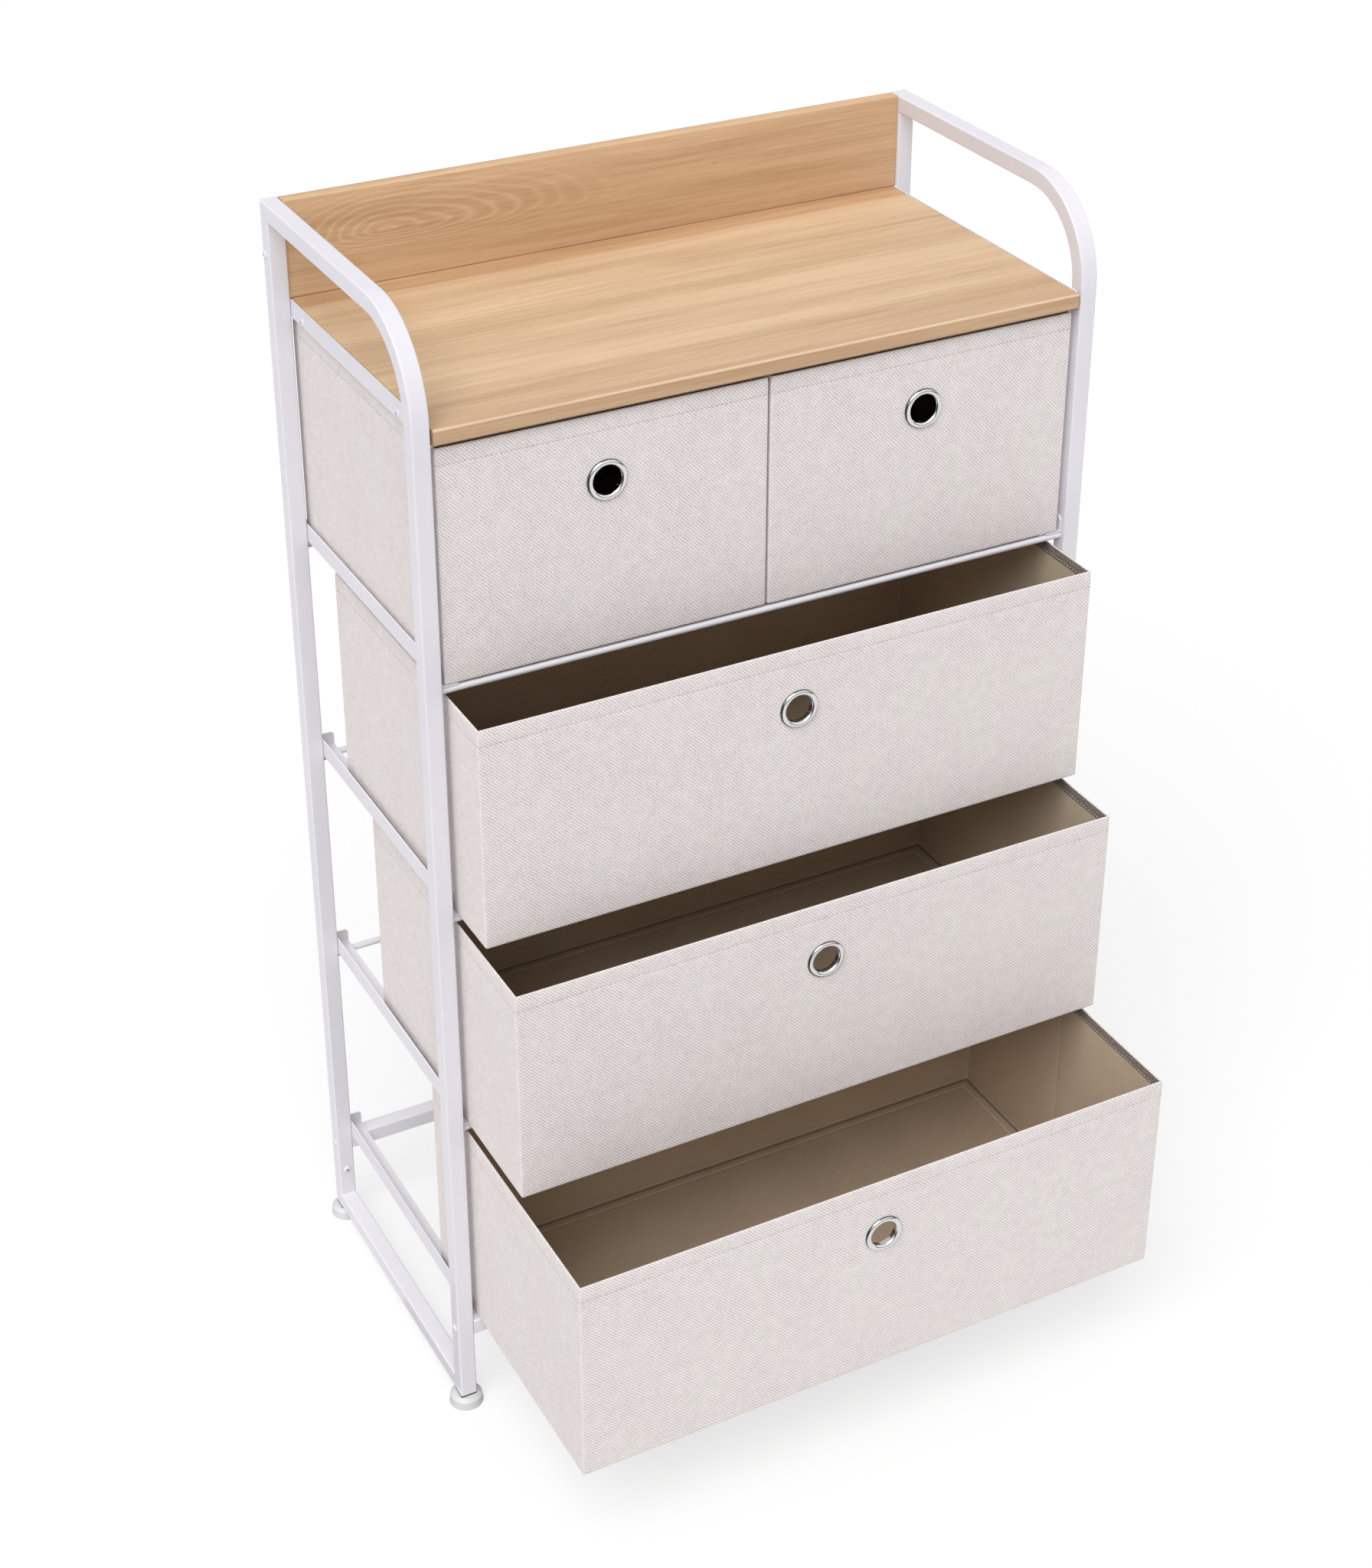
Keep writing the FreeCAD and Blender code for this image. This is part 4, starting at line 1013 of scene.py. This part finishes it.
# %% Finishes on the CAD nodes
FINISHES = {
    "frame_white": painted["frame_white"],
    "plug_plastic": painted["plug_black"],
    "foot_plastic": painted["foot_white"],
    "grommet_chrome": eyelet_chrome,
    "stiffener_board": fibrous["wall_card"],
    "long_bolts": painted["bolt_white"],
    "short_screws": painted["screw_white"],
    "top_panel": top_wood,
    "back_panel": back_wood,
}
dressed = 0
for part in frame["record"]["subparts"]:
    finish = FINISHES.get(part["node"]) or FINISHES.get(part["material_slot"])
    for holder in frame["nodes"][part["node"]].material_slots:
        holder.material = finish or cover_cloth
    dressed += finish is not None
print("CAD nodes with a finish:", dressed)

# %% [markdown]
# ## Floor
# The object stands on a large pale floor. To the camera it adds a little light of its own, so that
# it reads as white and keeps the shadow; none of it falls on the object. In reflections its left
# front is dark, like the unlit end of a studio, because chrome shows its shape only by what it
# mirrors. From below the floor is clear, so that the underside shows.

# %% Floor
FLOOR_HALF = 40.0
SEEN_GREY, SEEN_GLOW, PALE_GREY, DIM_GREY = 0.33, 0.63, 0.75, 0.04
floor_finish = bpy.data.materials.new("studio_floor")
floor_finish.use_nodes = True
ground = floor_finish.node_tree
ground.nodes.remove(ground.nodes["Principled BSDF"])


def matt(level):
    """An even grey floor that scatters light."""
    colour = (level, level, level, 1)
    return add(ground, "ShaderNodeBsdfDiffuse", {"Color": colour}).outputs[0]


def either(share, first, second):
    """Between two floors."""
    return add(ground, "ShaderNodeMixShader", {0: share, 1: first, 2: second}).outputs[0]


rays = add(ground, "ShaderNodeLightPath").outputs
seen = calc(ground, "MAXIMUM", rays["Is Camera Ray"], rays["Is Transmission Ray"])
glow = {"Color": (1, 1, 1, 1), "Strength": SEEN_GLOW}
glow = add(ground, "ShaderNodeEmission", glow).outputs[0]
shown = add(ground, "ShaderNodeAddShader", {0: matt(SEEN_GREY), 1: glow}).outputs[0]
spot = axes_of(ground, object_place(ground))
away = distance(ground, spot[0], spot[1])
leftwards = ramp(ground, calc(ground, "DIVIDE", spot[0], away), -0.7, -0.3, 1.0, 0.0)
flag = calc(ground, "MULTIPLY", leftwards, calc(ground, "LESS_THAN", spot[1], 0.0))
flag = calc(ground, "MULTIPLY", flag, rays["Is Glossy Ray"])
upper = either(seen, either(flag, matt(PALE_GREY), matt(DIM_GREY)), shown)
underneath = add(ground, "ShaderNodeNewGeometry").outputs["Backfacing"]
surface = either(underneath, upper, add(ground, "ShaderNodeBsdfTransparent").outputs[0])
ground.links.new(surface, ground.nodes["Material Output"].inputs[0])
floor_points = np.array([[-1, -1, 0], [1, -1, 0], [1, 1, 0], [-1, 1, 0]]) * FLOOR_HALF
floor = mesh_piece("studio_floor", floor_points, [[0, 1, 2, 3]], materials=(floor_finish,))
print("floor in m:", list(floor.dimensions))

# %% [markdown]
# ## Light
# The photograph was lit softly from all round, a little more from the upper left. Lamps near the
# object would light the near floor more than the far one, so an even white surround and one broad
# soft sun do it. In reflections the surround is dark just above the floor, as the floor's end is.

# %% Light
SURROUND = 0.55
MIRRORED = (0.08, 0.45, 0.08, 1.0)
SUN_STRENGTH, SUN_SPREAD, SUN_WAY = 2.33, math.radians(45), (0.40, 0.42, -0.82)
scene = bpy.context.scene
world = bpy.data.worlds.new("studio_surround")
world.use_nodes = True
scene.world = world
sky = world.node_tree
sky_rays = add(sky, "ShaderNodeLightPath").outputs
towards = axes_of(sky, add(sky, "ShaderNodeTexCoord").outputs["Generated"])
mirrored = ramp(sky, towards[2], *MIRRORED)
level = calc(sky, "MAXIMUM", sky_rays["Is Camera Ray"], sky_rays["Is Transmission Ray"])
level = calc(sky, "MULTIPLY_ADD", level, 1 - SURROUND, SURROUND)
level = add(sky, "ShaderNodeMix", {0: sky_rays["Is Glossy Ray"], 2: level, 3: mirrored}).outputs[0]
sky.links.new(level, sky.nodes["Background"].inputs["Strength"])
sky.nodes["Background"].inputs["Color"].default_value = (1, 1, 1, 1)
sun = bpy.data.lights.new("key_sun", "SUN")
sun.energy, sun.angle = SUN_STRENGTH, SUN_SPREAD
key = bpy.data.objects.new("key_sun", sun)
key.rotation_euler = Vector(SUN_WAY).to_track_quat("-Z", "Y").to_euler()
scene.collection.objects.link(key)
scene.view_settings.view_transform = "Standard"
print("sun strength:", SUN_STRENGTH, "surround:", SURROUND)

# %% [markdown]
# ## Camera
# The camera stands where the photographer stood: to the left, above and in front. Its place and
# lens were fitted to corners of the dresser in the photograph. The picture is shifted down only
# in part, because other views keep the shift and would cut the object off.

# %% Camera
FOCAL_PX, LONG_SIDE, SHIFT_PX, SENSOR = 3616.1, 2048, -200, 36.0
AZIMUTH, ELEVATION = math.radians(-27.733), math.radians(28.877)
STAND = (-0.9699, -1.8504, 1.7875)
eye = bpy.data.cameras.new("studio_camera")
eye.sensor_width = SENSOR
eye.lens = FOCAL_PX * SENSOR / LONG_SIDE
eye.shift_y = SHIFT_PX / LONG_SIDE
camera = bpy.data.objects.new("studio_camera", eye)
level = math.cos(ELEVATION)
back = Vector((math.sin(AZIMUTH) * level, -math.cos(AZIMUTH) * level, math.sin(ELEVATION)))
right = Vector((math.cos(AZIMUTH), math.sin(AZIMUTH), 0))
turn = Matrix((right, back.cross(right), back)).transposed()
camera.matrix_world = Matrix.Translation(STAND) @ turn.to_4x4()
scene.collection.objects.link(camera)
scene.camera = camera
print("lens in mm:", round(eye.lens, 2))
